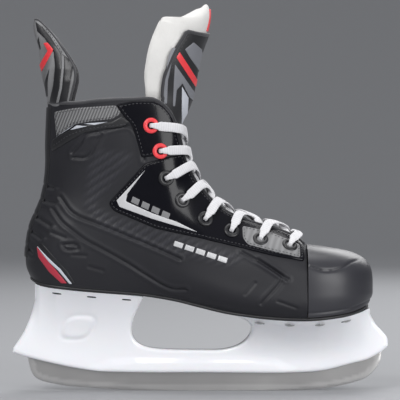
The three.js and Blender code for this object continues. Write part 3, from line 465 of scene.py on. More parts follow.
def top_point(u):
    cuff = cuff_curve.at(u / CUFF_SPAN)
    facing = facing_curve.at((u - CUFF_SPAN) / (1 - CUFF_SPAN))
    return np.where((u < CUFF_SPAN)[:, None], cuff, facing)


def boot_point(a, v):
    """a from -1 (lateral facing) round the heel at 0 to 1, v from the sole to the top edge."""
    a, v = matched(a, v)
    turn = np.minimum(1, abs(a) / HEEL_TURN) * (math.pi / 2)
    rest = np.maximum(0, (abs(a) - HEEL_TURN) / (1 - HEEL_TURN))
    u = np.minimum(1, HEEL_SPAN * (1 - np.cos(turn)) + (1 - HEEL_SPAN) * rest)
    U, V = u[:, None], v[:, None]
    low, top, rear = sole_curve.at(u) + STACK, top_point(u), rear_curve.at(v)
    front = mix(TOE_SOLE_CORNER, TOE_TOP_CORNER, V)
    corners = mix(mix(HEEL_CORNER, CUFF_CORNER, V), front, U)
    p = mix(low, top, V) + mix(rear, front, U) - corners
    width = np.sum(width_basis(u) * width_up(v), axis=1)
    y = swing(p[:, 0]) + np.sign(a) * width * np.sin(turn)
    return np.stack([p[:, 0], y, p[:, 1]], 1)


boot = Surface(boot_point, (-1, 0), (1, 1))
sole_samples = Curve(SOLE_LINE).points


def sole_at(x):
    return np.interp(x, sole_samples[:, 0], sole_samples[:, 1])


TOE_EDGE, TOE_TIP, TOE_MIDDLE, TOE_TOP, TOE_DROP = 86.2, 139.4, 80.0, 117.6, 6.5
TOE_HALF_WIDTH, TOE_FOOT = 46.0, 0.3


def toe_point(w, e, d=0.0):
    """w from -1 (lateral) to 1 round the toe, e from 0 at the sole to 1 on top, d proud."""
    turn = w * (math.pi / 2)
    rise = np.clip((e - TOE_FOOT) / (1 - TOE_FOOT), 0, 1) * (math.pi / 2)
    power = mix(0.46, 0.62, abs(np.sin(turn)))
    foot = np.clip(e / TOE_FOOT, 0, 1)
    reach = np.where(e < TOE_FOOT, 0.93 + 0.07 * np.sin(foot * math.pi / 2),
                     np.maximum(np.cos(rise), 0) ** power)
    x = TOE_EDGE + (TOE_TIP - TOE_EDGE + d) * reach * np.maximum(np.cos(turn), 0) ** 0.9
    y = swing(x) + (TOE_HALF_WIDTH + d) * reach * np.sign(w) * abs(np.sin(turn)) ** 0.95
    low = sole_at(x) + SOLE_STACK + GAP
    lift = (TOE_TOP + d - TOE_MIDDLE) * np.sin(rise) ** power
    drop = TOE_DROP * np.maximum(0, (x - TOE_EDGE) / (TOE_TIP - TOE_EDGE))
    z = np.where(e < TOE_FOOT, mix(low, TOE_MIDDLE, foot),
                 TOE_MIDDLE + lift * (1 - drop / (TOE_TOP - TOE_MIDDLE)))
    return np.stack([x, y, z], 1)


tongue_curve = Curve(TONGUE_LINE)
CUFF_AT = float(np.interp(216.6, tongue_curve.points[:, 1], tongue_curve.at_length))
SHAFT = [0, 0.2, 0.5, 0.75, 0.92, 1]
SHAFT_PLACES = [0, *(CUFF_AT + (1 - CUFF_AT) * s for s in SHAFT)]
tongue_half = spline_rows(SHAFT_PLACES, [24.5, 25.5, 27, 33, 31, 24, 13])
tongue_depth = spline_rows(SHAFT_PLACES, [27, 34, 42, 44, 42, 30, 12])


def tongue_point(q, s):
    """q from -1 to 1 across the tongue's outer face, s along it from the toe to its top."""
    q, s = matched(q, s)
    front, run = tongue_curve.at(s), tongue_curve.tangent(s)
    half, depth, turn = tongue_half(s), tongue_depth(s), q * (math.pi / 2)
    back = depth * np.cos(turn) - depth
    x, z = front[:, 0] + run[:, 1] * back, front[:, 1] - run[:, 0] * back
    return np.stack([x, swing(x) + half * np.sin(turn), z], 1)


tongue = Surface(tongue_point, (-1, 0), (1, 1), facing=-1)


def by_height(points, z):
    table = np.array(points, float)
    return np.interp(z, table[:, 1], table[:, 0])


guard_rear = spline_rows([z for _, z in GUARD_REAR], [x for x, _ in GUARD_REAR])
guard_front = spline_rows([z for _, z in GUARD_FRONT], [x for x, _ in GUARD_FRONT])


def guard_point(q, z):
    """q from -1 (lateral front edge) round the back to 1, z the height."""
    q, z = matched(q, z)
    turn, front = q * (math.pi / 2), guard_front(z)
    x = front - (front - guard_rear(z)) * np.cos(turn)
    return np.stack([x, swing(x) + by_height(GUARD_HALF, z) * np.sin(turn), z], 1)


guard = Surface(guard_point, (-1, 226), (1, 301), facing=1)


# ---- Mesh making ----
def new_object(name, data):
    """An object for a mesh, a lamp or a camera, put in the scene."""
    made = bpy.data.objects.new(name, data)
    bpy.context.scene.collection.objects.link(made)
    return made


class Build:
    """Gathers closed shapes into one piece: points in millimetres, faces, and a flat map."""

    def __init__(self):
        self.points, self.faces, self.flat, self.marks, self.count = [], [], [], [], 0

    def add(self, points, faces, flat=None, marks=None):
        points = np.asarray(points, float)
        faces = [[i + self.count for i in face] for face in orient(points, faces)]
        self.points.append(points)
        self.faces += faces
        self.flat.append(points[:, [0, 2]] if flat is None else np.asarray(flat, float))
        self.marks.append(np.zeros(len(points)) if marks is None else np.asarray(marks, float))
        self.count += len(points)
        return self

    def finish(self, name, *materials, sharp=50.0):
        points = np.vstack(self.points) * MM
        mesh = bpy.data.meshes.new(name)
        mesh.from_pydata(points.tolist(), [], self.faces)
        mesh.polygons.foreach_set("use_smooth", [True] * len(mesh.polygons))
        flat = np.vstack(self.flat) * MM
        corners = np.zeros(len(mesh.loops), np.int32)
        mesh.loops.foreach_get("vertex_index", corners)
        layer = mesh.uv_layers.new(name="Pattern")
        layer.data.foreach_set("uv", flat[corners].astype(np.float32).ravel())
        mark = mesh.attributes.new("mark", "FLOAT", "POINT")
        mark.data.foreach_set("value", np.concatenate(self.marks).astype(np.float32))
        mesh.set_sharp_from_angle(angle=math.radians(sharp))
        piece = new_object(name, mesh)
        for material in materials:
            mesh.materials.append(material)
        mesh.validate()
        return piece


def orient(points, faces):
    """The faces, turned so that they face out of the closed shape."""
    triangles = np.array([[f[0], f[i], f[i + 1]] for f in faces for i in range(1, len(f) - 1)])
    p, q, r = (points[triangles[:, k]] for k in range(3))
    volume = np.sum(p * np.cross(q, r))
    return faces if volume >= 0 else [list(f)[::-1] for f in faces]


def grid_faces(rows, columns, start=0, flip=False):
    faces = []
    for j in range(rows - 1):
        for i in range(columns - 1):
            a = start + j * columns + i
            face = [a, a + 1, a + columns + 1, a + columns]
            faces.append(face[::-1] if flip else face)
    return faces


def rim_of(rows, columns, start=0):
    """The points round the edge of a grid, the first one repeated at the end."""
    rim = ([i for i in range(columns)] + [j * columns + columns - 1 for j in range(1, rows)]
           + [(rows - 1) * columns + i for i in range(columns - 2, -1, -1)]
           + [j * columns for j in range(rows - 2, -1, -1)])
    return [start + i for i in rim]


def wall(outer, inner):
    """A closed wall between two grids of points; the inner one may be coarser."""
    rows, columns = outer.shape[:2]
    count = rows * columns
    faces = grid_faces(rows, columns) + grid_faces(*inner.shape[:2], count, flip=True)
    rim, back = rim_of(rows, columns), rim_of(*inner.shape[:2], count)
    step = (len(rim) - 1) // (len(back) - 1)
    for k in range(len(back) - 1):
        faces.append(rim[k * step:(k + 1) * step + 1][::-1] + [back[k], back[k + 1]])
    return np.vstack([outer.reshape(-1, 3), inner.reshape(-1, 3)]), faces


def sheet_grid(low, high, columns, rows):
    """Two coordinates spread evenly over a grid."""
    return np.meshgrid(np.linspace(low[0], high[0], columns), np.linspace(low[1], high[1], rows))


def sheet(surface, a, b, lift):
    """A grid of points at a distance, or a grid of distances, from a surface."""
    lift = np.broadcast_to(lift, a.shape)
    return surface.offset(a.ravel(), b.ravel(), lift.ravel()).reshape(*a.shape, 3)


def layer(surface, a, b, outer, inner):
    """A closed layer between two distances from a surface."""
    return Build().add(*wall(sheet(surface, a, b, outer), sheet(surface, a, b, inner)))


def triangulate(outline, spacing, rims=()):
    """Points and triangles that fill an outline, with rings of points just inside its edge."""
    loop = np.array(outline, float)
    closed, inwards = np.vstack([loop, loop[:1]]), inward(loop)
    extra = []
    for depth in rims:
        ring = loop + inwards * depth
        good = inside(ring, loop)
        good[good] &= distance_to(ring[good], closed) > depth * 0.93
        extra.append(ring[good])
    low, high = loop.min(0), loop.max(0)
    rows = int((high[1] - low[1]) / (spacing * 0.87)) + 2
    columns = int((high[0] - low[0]) / spacing) + 2
    j, i = np.mgrid[0:rows, 0:columns]
    field = np.stack([low[0] + (i + 0.5 * (j % 2)) * spacing, low[1] + j * spacing * 0.87], -1)
    field = field.reshape(-1, 2)
    field = field[inside(field, loop)]
    reach = (max(rims) if len(rims) else 0) + spacing * 0.55
    field = field[distance_to(field, closed) > reach]
    points = np.vstack([loop, *extra, field])
    edges = [(i, (i + 1) % len(loop)) for i in range(len(loop))]
    made = delaunay_2d_cdt([Vector(p) for p in points], edges, [], 1, 1e-5)
    out = np.array([tuple(p) for p in made[0]])
    faces = np.array([list(f) for f in made[2] if len(f) == 3])
    centre = out[faces].mean(1)
    faces = faces[inside(centre, loop)]
    return out, faces, closed


def boundary_of(faces):
    """The directed edges that only one face uses."""
    edges = {}
    for a, b, c in faces:
        for e in ((a, b), (b, c), (c, a)):
            edges[e] = True
    return [(a, b) for a, b in edges if (b, a) not in edges]


def closed_pair(top, bottom, faces):
    """A closed solid from two sheets that share their triangles."""
    count = len(top)
    out = [list(f) for f in faces] + [[f[2] + count, f[1] + count, f[0] + count] for f in faces]
    out += [[b, a, a + count, b + count] for a, b in boundary_of(faces)]
    return np.vstack([top, bottom]), out


def patch(build, surface, outline, side, lift, height, a_range=(0.02, 1.0), edge=0.8,
          spacing=1.8, sink=0.25, corner=1.6):
    """A thin shaped piece laid on a surface: its outline in side view, its height proud."""
    loop = closed_outline(outline, min(spacing * 0.7, 1.3), corner)
    rims = [edge * k for k in (0.12, 0.4, 1.0)]
    flat, faces, closed = triangulate(loop, spacing, rims)
    depth = np.clip(distance_to(flat, closed) / edge, 0, 1)
    proud = lift + height * np.sqrt(1 - (1 - depth) ** 2)
    a, b = surface.locate(flat, side, a_range)
    normal, base = surface.normal(a, b), surface.point(a, b)
    top, bottom = base + normal * proud[:, None], base + normal * (lift - sink)
    points, faces = closed_pair(top, bottom, faces)
    build.add(points, faces, np.vstack([flat, flat]), np.concatenate([depth, depth]))
    return build


def tube(build, path, across, up, width, height, section=12, power=0.8):
    """A closed sweep of a rounded section along a path; width and height are half sizes."""
    angle = np.linspace(0, 2 * math.pi, section, endpoint=False)
    w = np.sign(np.cos(angle)) * abs(np.cos(angle)) ** power
    h = np.sign(np.sin(angle)) * abs(np.sin(angle)) ** power
    width, height = np.broadcast_to(width, len(path)), np.broadcast_to(height, len(path))
    rings = (path[:, None] + across[:, None] * (w[None, :, None] * width[:, None, None])
             + up[:, None] * (h[None, :, None] * height[:, None, None]))
    count = len(path)
    faces = []
    for i in range(count - 1):
        for j in range(section):
            a, b = i * section + j, i * section + (j + 1) % section
            faces.append([a, b, b + section, a + section])
    faces.append(list(range(section))[::-1])
    faces.append([(count - 1) * section + j for j in range(section)])
    steps = np.linalg.norm(np.diff(path, axis=0), axis=1)
    along_length = np.concatenate([[0], np.cumsum(steps)])
    flat = np.stack([np.repeat(along_length, section), np.tile(w, count) * np.repeat(
        width, section)], 1)
    build.add(rings.reshape(-1, 3), faces, flat)
    return build


def lathe(profile, segments):
    """A closed turned shape round +Z from [radius, height] points."""
    angle = np.linspace(0, 2 * math.pi, segments, endpoint=False)
    ring = np.stack([np.cos(angle), np.sin(angle)], 1)
    points, rows, faces = [], [], []
    for r, h in profile:
        if r < 1e-6:
            rows.append([len(points)])
            points.append((0, 0, h))
        else:
            rows.append(list(range(len(points), len(points) + segments)))
            points += [(r * c, r * s, h) for c, s in ring]
    pairs = list(zip(rows, rows[1:]))
    if len(rows[0]) > 1 and len(rows[-1]) > 1:
        pairs.append((rows[-1], rows[0]))
    for low, high in pairs:
        for j in range(segments):
            k = (j + 1) % segments
            face = [low[j % len(low)], low[k % len(low)], high[k % len(high)], high[j % len(high)]]
            face = list(dict.fromkeys(face))
            if len(face) > 2:
                faces.append(face)
    return np.array(points), faces


# ---- Materials ----
def new_group(name, inputs, outputs, kind="ShaderNodeTree"):
    """An empty node group with its inputs and outputs."""
    group = bpy.data.node_groups.new(name, kind)
    for label, socket_type, value in inputs:
        socket = group.interface.new_socket(label, in_out="INPUT", socket_type=socket_type)
        if value is not None:
            socket.default_value = value
    for label, socket_type in outputs:
        group.interface.new_socket(label, in_out="OUTPUT", socket_type=socket_type)
    return group, group.nodes.new("NodeGroupInput"), group.nodes.new("NodeGroupOutput")


def node(tree, kind, **settings):
    made = tree.nodes.new(kind)
    for key, value in settings.items():
        if hasattr(made, key):
            setattr(made, key, value)
        else:
            made.inputs[key].default_value = value
    return made


def math_node(tree, operation, first, second=None, clamp=False):
    made = tree.nodes.new("ShaderNodeMath")
    made.operation, made.use_clamp = operation, clamp
    for socket, value in zip(made.inputs, (first, second)):
        if value is None:
            continue
        if isinstance(value, (int, float)):
            socket.default_value = value
        else:
            tree.links.new(value, socket)
    return made.outputs[0]


FLOAT, VECTOR, COLOR = "NodeSocketFloat", "NodeSocketVector", "NodeSocketColor"
GEOMETRY, MATERIAL, OBJECT = "NodeSocketGeometry", "NodeSocketMaterial", "NodeSocketObject"
WAVE_AT_ONE = 0.314  # metres from one band of a wave texture to the next, at scale 1


def grain_group():
    """Pebbled or brushed surface: a height, and a slow mottle for tone and gloss."""
    group, given, out = new_group("Surface grain", [
        ("Vector", VECTOR, None), ("Scale", FLOAT, 900.0), ("Mottle Scale", FLOAT, 60.0)],
        [("Height", FLOAT), ("Mottle", FLOAT)])
    cells = node(group, "ShaderNodeTexVoronoi", feature="SMOOTH_F1")
    fine = node(group, "ShaderNodeTexNoise", Detail=3.0, Roughness=0.6)
    slow = node(group, "ShaderNodeTexNoise", Detail=4.0, Roughness=0.55)
    links = group.links
    for texture in (cells, fine, slow):
        links.new(given.outputs["Vector"], texture.inputs["Vector"])
    links.new(given.outputs["Scale"], cells.inputs["Scale"])
    links.new(math_node(group, "MULTIPLY", given.outputs["Scale"], 2.7), fine.inputs["Scale"])
    links.new(given.outputs["Mottle Scale"], slow.inputs["Scale"])
    half = math_node(group, "MULTIPLY", fine.outputs[0], 0.5)
    links.new(math_node(group, "ADD", cells.outputs["Distance"], half), out.inputs["Height"])
    links.new(slow.outputs[0], out.inputs["Mottle"])
    return group


def weave_group():
    """Plain or twill weave on a flat map: a height and the share of each thread."""
    group, given, out = new_group("Thread weave", [
        ("Vector", VECTOR, None), ("Threads", FLOAT, 900.0), ("Slant", FLOAT, 0.0),
        ("Fuzz", FLOAT, 0.3)], [("Height", FLOAT), ("Thread", FLOAT)])
    links = group.links
    parts = node(group, "ShaderNodeSeparateXYZ")
    links.new(given.outputs["Vector"], parts.inputs[0])
    x = math_node(group, "MULTIPLY", parts.outputs[0], given.outputs["Threads"])
    y = math_node(group, "MULTIPLY", parts.outputs[1], given.outputs["Threads"])
    slanted = math_node(group, "ADD", x, math_node(group, "MULTIPLY", y, given.outputs["Slant"]))
    warp = math_node(group, "SINE", slanted)
    weft = math_node(group, "SINE", y)
    cross = math_node(group, "MULTIPLY", warp, weft)
    fuzz = node(group, "ShaderNodeTexNoise", Scale=2600.0, Detail=2.0)
    links.new(given.outputs["Vector"], fuzz.inputs["Vector"])
    rough = math_node(group, "MULTIPLY", fuzz.outputs[0], given.outputs["Fuzz"])
    height = math_node(group, "ADD", math_node(group, "ABSOLUTE", cross), rough)
    links.new(height, out.inputs["Height"])
    share = math_node(group, "MULTIPLY_ADD", cross, 0.5)
    share.node.inputs[2].default_value = 0.5
    links.new(share, out.inputs["Thread"])
    return group


def wear_group():
    """Colour with scuffed edges and faint rub marks."""
    group, given, out = new_group("Edge wear", [
        ("Color", COLOR, (0.1, 0.1, 0.1, 1)), ("Worn Color", COLOR, (0.3, 0.3, 0.3, 1)),
        ("Amount", FLOAT, 0.4), ("Vector", VECTOR, None)], [("Color", COLOR)])
    links = group.links
    edge = node(group, "ShaderNodeNewGeometry")
    ramp = node(group, "ShaderNodeMapRange")
    for label, value in (("From Min", 0.52), ("From Max", 0.62)):
        ramp.inputs[label].default_value = value
    links.new(edge.outputs["Pointiness"], ramp.inputs["Value"])
    rubs = node(group, "ShaderNodeTexNoise", Scale=240.0, Detail=5.0, Roughness=0.7)
    links.new(given.outputs["Vector"], rubs.inputs["Vector"])
    broken = math_node(group, "MULTIPLY", ramp.outputs[0], rubs.outputs[0])
    amount = math_node(group, "MULTIPLY", broken, given.outputs["Amount"], clamp=True)
    blend = node(group, "ShaderNodeMix", data_type="RGBA")
    links.new(amount, blend.inputs[0])
    links.new(given.outputs["Color"], blend.inputs[6])
    links.new(given.outputs["Worn Color"], blend.inputs[7])
    links.new(blend.outputs[2], out.inputs["Color"])
    return group


def group_of(name, maker):
    return bpy.data.node_groups.get(name) or maker()


def use_group(tree, group, **values):
    made = tree.nodes.new("ShaderNodeGroup")
    made.node_tree = group
    for key, value in values.items():
        made.inputs[key.replace("_", " ")].default_value = value
    return made


class Finish:
    """One material, built up from a Principled shader."""

    def __init__(self, name, color, roughness=0.5, metallic=0.0, **shader):
        self.material = bpy.data.materials.new(name)
        self.material.use_nodes = True
        self.tree = self.material.node_tree
        self.shader = next(n for n in self.tree.nodes if n.type == "BSDF_PRINCIPLED")
        self.color = (*color, 1)
        self.roughness = roughness
        self.shader.inputs["Base Color"].default_value = self.color
        self.shader.inputs["Roughness"].default_value = roughness
        self.shader.inputs["Metallic"].default_value = metallic
        for key, value in shader.items():
            self.shader.inputs[key.replace("_", " ")].default_value = value
        self.material.diffuse_color = self.color
        self.place = self.tree.nodes.new("ShaderNodeTexCoord").outputs["Object"]
        self.flat = self.tree.nodes.new("ShaderNodeUVMap")
        self.flat.uv_map = "Pattern"
        self.flat = self.flat.outputs[0]
        self.heights = []
        self.tone = None

    def link(self, a, b):
        self.tree.links.new(a, b)

    def grain(self, scale, height, tone=0.12, gloss=0.1, mottle=60.0):
        """Fine grain with a slow change of tone and gloss."""
        made = use_group(self.tree, group_of("Surface grain", grain_group), Scale=scale,
                         Mottle_Scale=mottle)
        self.link(self.place, made.inputs["Vector"])
        self.heights.append((made.outputs["Height"], height))
        self.shade(made.outputs["Mottle"], 1 - tone, 1 + tone)
        spread = node(self.tree, "ShaderNodeMapRange")
        spread.inputs["To Min"].default_value = max(0.02, self.roughness - gloss)
        spread.inputs["To Max"].default_value = min(1, self.roughness + gloss)
        self.link(made.outputs["Mottle"], spread.inputs["Value"])
        self.link(spread.outputs[0], self.shader.inputs["Roughness"])
        return self

    def shade(self, mask, low, high):
        """Scales the colour between two strengths by a mask from 0 to 1."""
        spread = node(self.tree, "ShaderNodeMapRange")
        spread.inputs["To Min"].default_value, spread.inputs["To Max"].default_value = low, high
        self.link(mask, spread.inputs["Value"])
        scale = self.tree.nodes.new("ShaderNodeVectorMath")
        scale.operation = "SCALE"
        if self.tone is None:
            scale.inputs[0].default_value = self.color[:3]
        else:
            self.link(self.tone, scale.inputs[0])
        self.link(spread.outputs[0], scale.inputs["Scale"])
        self.tone = scale.outputs[0]

    def weave(self, threads, height, slant=0.0, fuzz=0.3, low=0.8, high=1.1):
        """Woven threads on the piece's flat map."""
        made = use_group(self.tree, group_of("Thread weave", weave_group), Threads=threads,
                         Slant=slant, Fuzz=fuzz)
        self.link(self.flat, made.inputs["Vector"])
        self.heights.append((made.outputs["Height"], height))
        self.shade(made.outputs["Thread"], low, high)
        return self

    def ribs(self, pitch, height, angle, low=0.7, high=1.1, mask=None, band=0.0):
        """Straight ribs across the flat map, at an angle in degrees."""
        turn = node(self.tree, "ShaderNodeMapping")
        turn.inputs["Rotation"].default_value[2] = math.radians(angle)
        self.link(self.flat, turn.inputs["Vector"])
        waves = node(self.tree, "ShaderNodeTexWave", wave_type="BANDS", bands_direction="X")
        waves.inputs["Scale"].default_value = WAVE_AT_ONE / pitch
        waves.inputs["Distortion"].default_value = band
        self.link(turn.outputs[0], waves.inputs["Vector"])
        level = waves.outputs["Fac"]
        if mask is not None:
            level = math_node(self.tree, "MULTIPLY", level, mask)
        self.heights.append((level, height))
        self.shade(level, low, high)
        return self

    def attribute(self, name):
        made = node(self.tree, "ShaderNodeAttribute", attribute_name=name)
        return made.outputs["Fac"]

    def wear(self, worn, amount=0.5):
        """Lighter, scuffed edges."""
        made = use_group(self.tree, group_of("Edge wear", wear_group), Amount=amount)
        made.inputs["Worn Color"].default_value = (*worn, 1)
        made.inputs["Color"].default_value = self.color
        if self.tone is not None:
            self.link(self.tone, made.inputs["Color"])
        self.link(self.place, made.inputs["Vector"])
        self.tone = made.outputs["Color"]
        return self

    def done(self):
        if self.tone is not None:
            self.link(self.tone, self.shader.inputs["Base Color"])
        total = None
        for level, height in self.heights:
            scaled = math_node(self.tree, "MULTIPLY", level, height)
            total = scaled if total is None else math_node(self.tree, "ADD", total, scaled)
        if total is not None:
            bump = node(self.tree, "ShaderNodeBump")
            bump.inputs["Strength"].default_value = 1.0
            bump.inputs["Distance"].default_value = 1.0
            self.link(total, bump.inputs["Height"])
            self.link(bump.outputs[0], self.shader.inputs["Normal"])
        return self.material


def colours():
    return bpy.context.scene.skate_colours


def sizes():
    return bpy.context.scene.skate_sizes


def boot_shell(name):
    made = Finish(name, tuple(colours().shell), 0.47, Specular_IOR_Level=0.35)
    made.grain(1500.0, 0.00002, tone=0.10, gloss=0.07)
    made.ribs(0.0056, 0.00030, 55.0, 0.80, 1.25, mask=made.attribute("mark"), band=0.8)
    made.ribs(0.0024, 0.00008, 30.0, 0.92, 1.10, mask=made.attribute("mark"))
    return made.wear((0.09, 0.09, 0.10), 0.5).done()


def toe_cap(name):
    made = Finish(name, tuple(k * 1.25 for k in colours().shell), 0.40, Specular_IOR_Level=0.5)
    return made.grain(1900.0, 0.000012, tone=0.08, gloss=0.06).wear(
        (0.12, 0.12, 0.13), 0.6).done()


def patent(name):
    made = Finish(name, tuple(colours().patent), 0.2, Coat_Weight=0.1, Coat_Roughness=0.05,
                  Specular_IOR_Level=0.18)
    return made.grain(350.0, 0.00001, tone=0.2, gloss=0.04, mottle=35.0).done()


def grey_satin(name):
    made = Finish(name, tuple(colours().grey), 0.42)
    return made.grain(1200.0, 0.00001, tone=0.06, gloss=0.05).wear((0.4, 0.4, 0.4), 0.4).done()


def grey_mesh(name):
    made = Finish(name, tuple(colours().grey), 0.62)
    made.ribs(0.0022, 0.00035, 22.0, 0.42, 1.25)
    return made.weave(4200.0, 0.00006, fuzz=0.5, low=0.8, high=1.1).done()


def cord_panel(name):
    made = Finish(name, tuple(colours().grey), 0.5)
    return made.grain(1500.0, 0.00003, tone=0.1).ribs(0.0050, 0.0001, 20.0, 0.8, 1.1).done()


def red(name):
    made = Finish(name, tuple(colours().red), 0.32, Specular_IOR_Level=0.5)
    return made.grain(900.0, 0.000008, tone=0.08, gloss=0.06).wear((0.9, 0.35, 0.35),
                                                                     0.4).done()


def deep_red(name):
    accent = colours().red
    made = Finish(name, (accent[0] * 0.55, accent[1] * 0.7, accent[2]), 0.3)
    return made.grain(900.0, 0.000008, tone=0.12, gloss=0.06).done()


def silver_trim(name):
    made = Finish(name, (0.62, 0.62, 0.63), 0.3, metallic=0.25)
    return made.grain(1200.0, 0.00001, tone=0.06).done()


def black_trim(name):
    made = Finish(name, (0.012, 0.012, 0.014), 0.35)
    return made.grain(1500.0, 0.00001, tone=0.1).wear((0.08, 0.08, 0.08), 0.5).done()


def grey_blue_trim(name):
    made = Finish(name, (0.19, 0.195, 0.215), 0.45)
    return made.grain(1100.0, 0.00002, tone=0.08).done()


def pale_trim(name):
    made = Finish(name, (0.52, 0.54, 0.59), 0.4)
    return made.grain(1100.0, 0.00002, tone=0.06).done()


def holder_nylon(name):
    made = Finish(name, tuple(colours().holder), 0.3, Coat_Weight=0.9, Coat_Roughness=0.04,
                  Subsurface_Weight=0.05, Subsurface_Scale=0.002)
    return made.grain(420.0, 0.000008, tone=0.015, gloss=0.04, mottle=25.0).wear(
        (0.7, 0.7, 0.72), 0.3).done()


def runner_steel(name):
    made = Finish(name, tuple(colours().steel), 0.34, metallic=1.0)
    stretch = node(made.tree, "ShaderNodeMapping")
    stretch.inputs["Scale"].default_value = (14.0, 60.0, 1400.0)
    made.link(made.place, stretch.inputs["Vector"])
    brushed = node(made.tree, "ShaderNodeTexNoise", Scale=3.0, Detail=6.0, Roughness=0.7)
    made.link(stretch.outputs[0], brushed.inputs["Vector"])
    made.heights.append((brushed.outputs[0], 0.000002))
    made.shade(brushed.outputs[0], 0.92, 1.06)
    made.shade(made.attribute("mark"), 1.15, 0.92)
    return made.grain(300.0, 0.0, tone=0.05, gloss=0.08, mottle=30.0).done()


def zinc(name):
    made = Finish(name, (0.50, 0.50, 0.50), 0.36, metallic=1.0)
    return made.grain(700.0, 0.00001, tone=0.12, gloss=0.1).done()


def outsole(name):
    made = Finish(name, (0.016, 0.016, 0.018), 0.45)
    return made.grain(1300.0, 0.00003, tone=0.12).wear((0.08, 0.08, 0.08), 0.5).done()


def board(name):
    made = Finish(name, (0.24, 0.18, 0.11), 0.8)
    return made.grain(600.0, 0.00006, tone=0.25).done()


def liner(name):
    made = Finish(name, (0.050, 0.050, 0.056), 0.85, Sheen_Weight=0.35)
    return made.weave(3600.0, 0.00010, slant=0.5, fuzz=0.8, low=0.65, high=1.2).done()


def binding(name):
    made = Finish(name, (0.035, 0.035, 0.04), 0.7, Sheen_Weight=0.3)
    return made.weave(5200.0, 0.00008, fuzz=0.4, low=0.7, high=1.2).done()


def footbed_foam(name):
    made = Finish(name, (0.07, 0.07, 0.075), 0.9)
    return made.grain(900.0, 0.00012, tone=0.3).done()


def felt(name):
    made = Finish(name, tuple(colours().felt), 0.95, Sheen_Weight=0.25, Sheen_Roughness=0.5)
    made.grain(1700.0, 0.00016, tone=0.05, gloss=0.02, mottle=90.0)
    return made.grain(500.0, 0.00012, tone=0.03, gloss=0.02).done()


def guard_cloth(name):
    made = Finish(name, tuple(colours().grey), 0.62)
    return made.grain(1500.0, 0.00003, tone=0.15).ribs(
        0.011, 0.0, 4.0, 0.75, 1.15, band=3.0).done()


def lace_weave(name):
    made = Finish(name, tuple(colours().lace), 0.85, Sheen_Weight=0.15)
    return made.weave(3300.0, 0.00018, slant=1.0, fuzz=0.35, low=0.86, high=1.04).done()


def thread(name):
    made = Finish(name, (0.045, 0.045, 0.05), 0.45)
    return made.grain(2500.0, 0.00004, tone=0.2).done()


def finish(maker):
    """The finish that one of these functions makes, made the first time it is asked for."""
    name = maker.__name__.replace("_", " ").capitalize()
    return bpy.data.materials.get(name) or maker(name)


# ---- Geometry Nodes for what repeats ----
def new_tree(name, inputs):
    return new_group(name, [("Geometry", GEOMETRY, None), *inputs], [("Geometry", GEOMETRY)],
                     "GeometryNodeTree")


def end_tree(tree, given, out, instances):
    """Realizes the instances, smooths them and gives them their finish."""
    realize = tree.nodes.new("GeometryNodeRealizeInstances")
    shade = tree.nodes.new("GeometryNodeSetShadeSmooth")
    paint = tree.nodes.new("GeometryNodeSetMaterial")
    tree.links.new(instances, realize.inputs[0])
    tree.links.new(realize.outputs[0], shade.inputs[0])
    tree.links.new(shade.outputs[0], paint.inputs["Geometry"])
    tree.links.new(given.outputs["Finish"], paint.inputs["Material"])
    tree.links.new(paint.outputs[0], out.inputs[0])


def fastener_tree():
    """Sets one fastener on each point, turned to the point's facing."""
    tree, given, out = new_tree("Set fasteners", [
        ("Fastener", OBJECT, None), ("Finish", MATERIAL, None), ("Size", FLOAT, 1.0)])
    links = tree.links
    facing = tree.nodes.new("GeometryNodeInputNamedAttribute")
    facing.data_type = "FLOAT_VECTOR"
    facing.inputs["Name"].default_value = "facing"
    turn = tree.nodes.new("FunctionNodeAlignRotationToVector")
    turn.axis = "Z"
    links.new(facing.outputs["Attribute"], turn.inputs["Vector"])
    shape = tree.nodes.new("GeometryNodeObjectInfo")
    links.new(given.outputs["Fastener"], shape.inputs["Object"])
    put = tree.nodes.new("GeometryNodeInstanceOnPoints")
    links.new(given.outputs["Geometry"], put.inputs["Points"])
    links.new(shape.outputs["Geometry"], put.inputs["Instance"])
    links.new(turn.outputs["Rotation"], put.inputs["Rotation"])
    links.new(given.outputs["Size"], put.inputs["Scale"])
    end_tree(tree, given, out, put.outputs[0])
    return tree


def stitch_tree():
    """Lays stitches end to end along each line."""
    tree, given, out = new_tree("Sew stitches", [
        ("Pitch", FLOAT, 0.003), ("Length", FLOAT, 0.0019), ("Thread", FLOAT, 0.0007),
        ("Finish", MATERIAL, None)])
    links = tree.links
    line = tree.nodes.new("GeometryNodeMeshToCurve")
    spots = tree.nodes.new("GeometryNodeCurveToPoints")
    spots.mode = "LENGTH"
    stitch = tree.nodes.new("GeometryNodeMeshUVSphere")
    for label, value in (("Segments", 6), ("Rings", 4), ("Radius", 0.5)):
        stitch.inputs[label].default_value = value
    size = tree.nodes.new("ShaderNodeCombineXYZ")
    put = tree.nodes.new("GeometryNodeInstanceOnPoints")
    links.new(given.outputs["Geometry"], line.inputs[0])
    links.new(line.outputs[0], spots.inputs["Curve"])
    links.new(given.outputs["Pitch"], spots.inputs["Length"])
    links.new(given.outputs["Thread"], size.inputs[0])
    links.new(given.outputs["Thread"], size.inputs[1])
    links.new(given.outputs["Length"], size.inputs[2])
    links.new(spots.outputs["Points"], put.inputs["Points"])
    links.new(spots.outputs["Rotation"], put.inputs["Rotation"])
    links.new(stitch.outputs["Mesh"], put.inputs["Instance"])
    links.new(size.outputs[0], put.inputs["Scale"])
    end_tree(tree, given, out, put.outputs[0])
    return tree


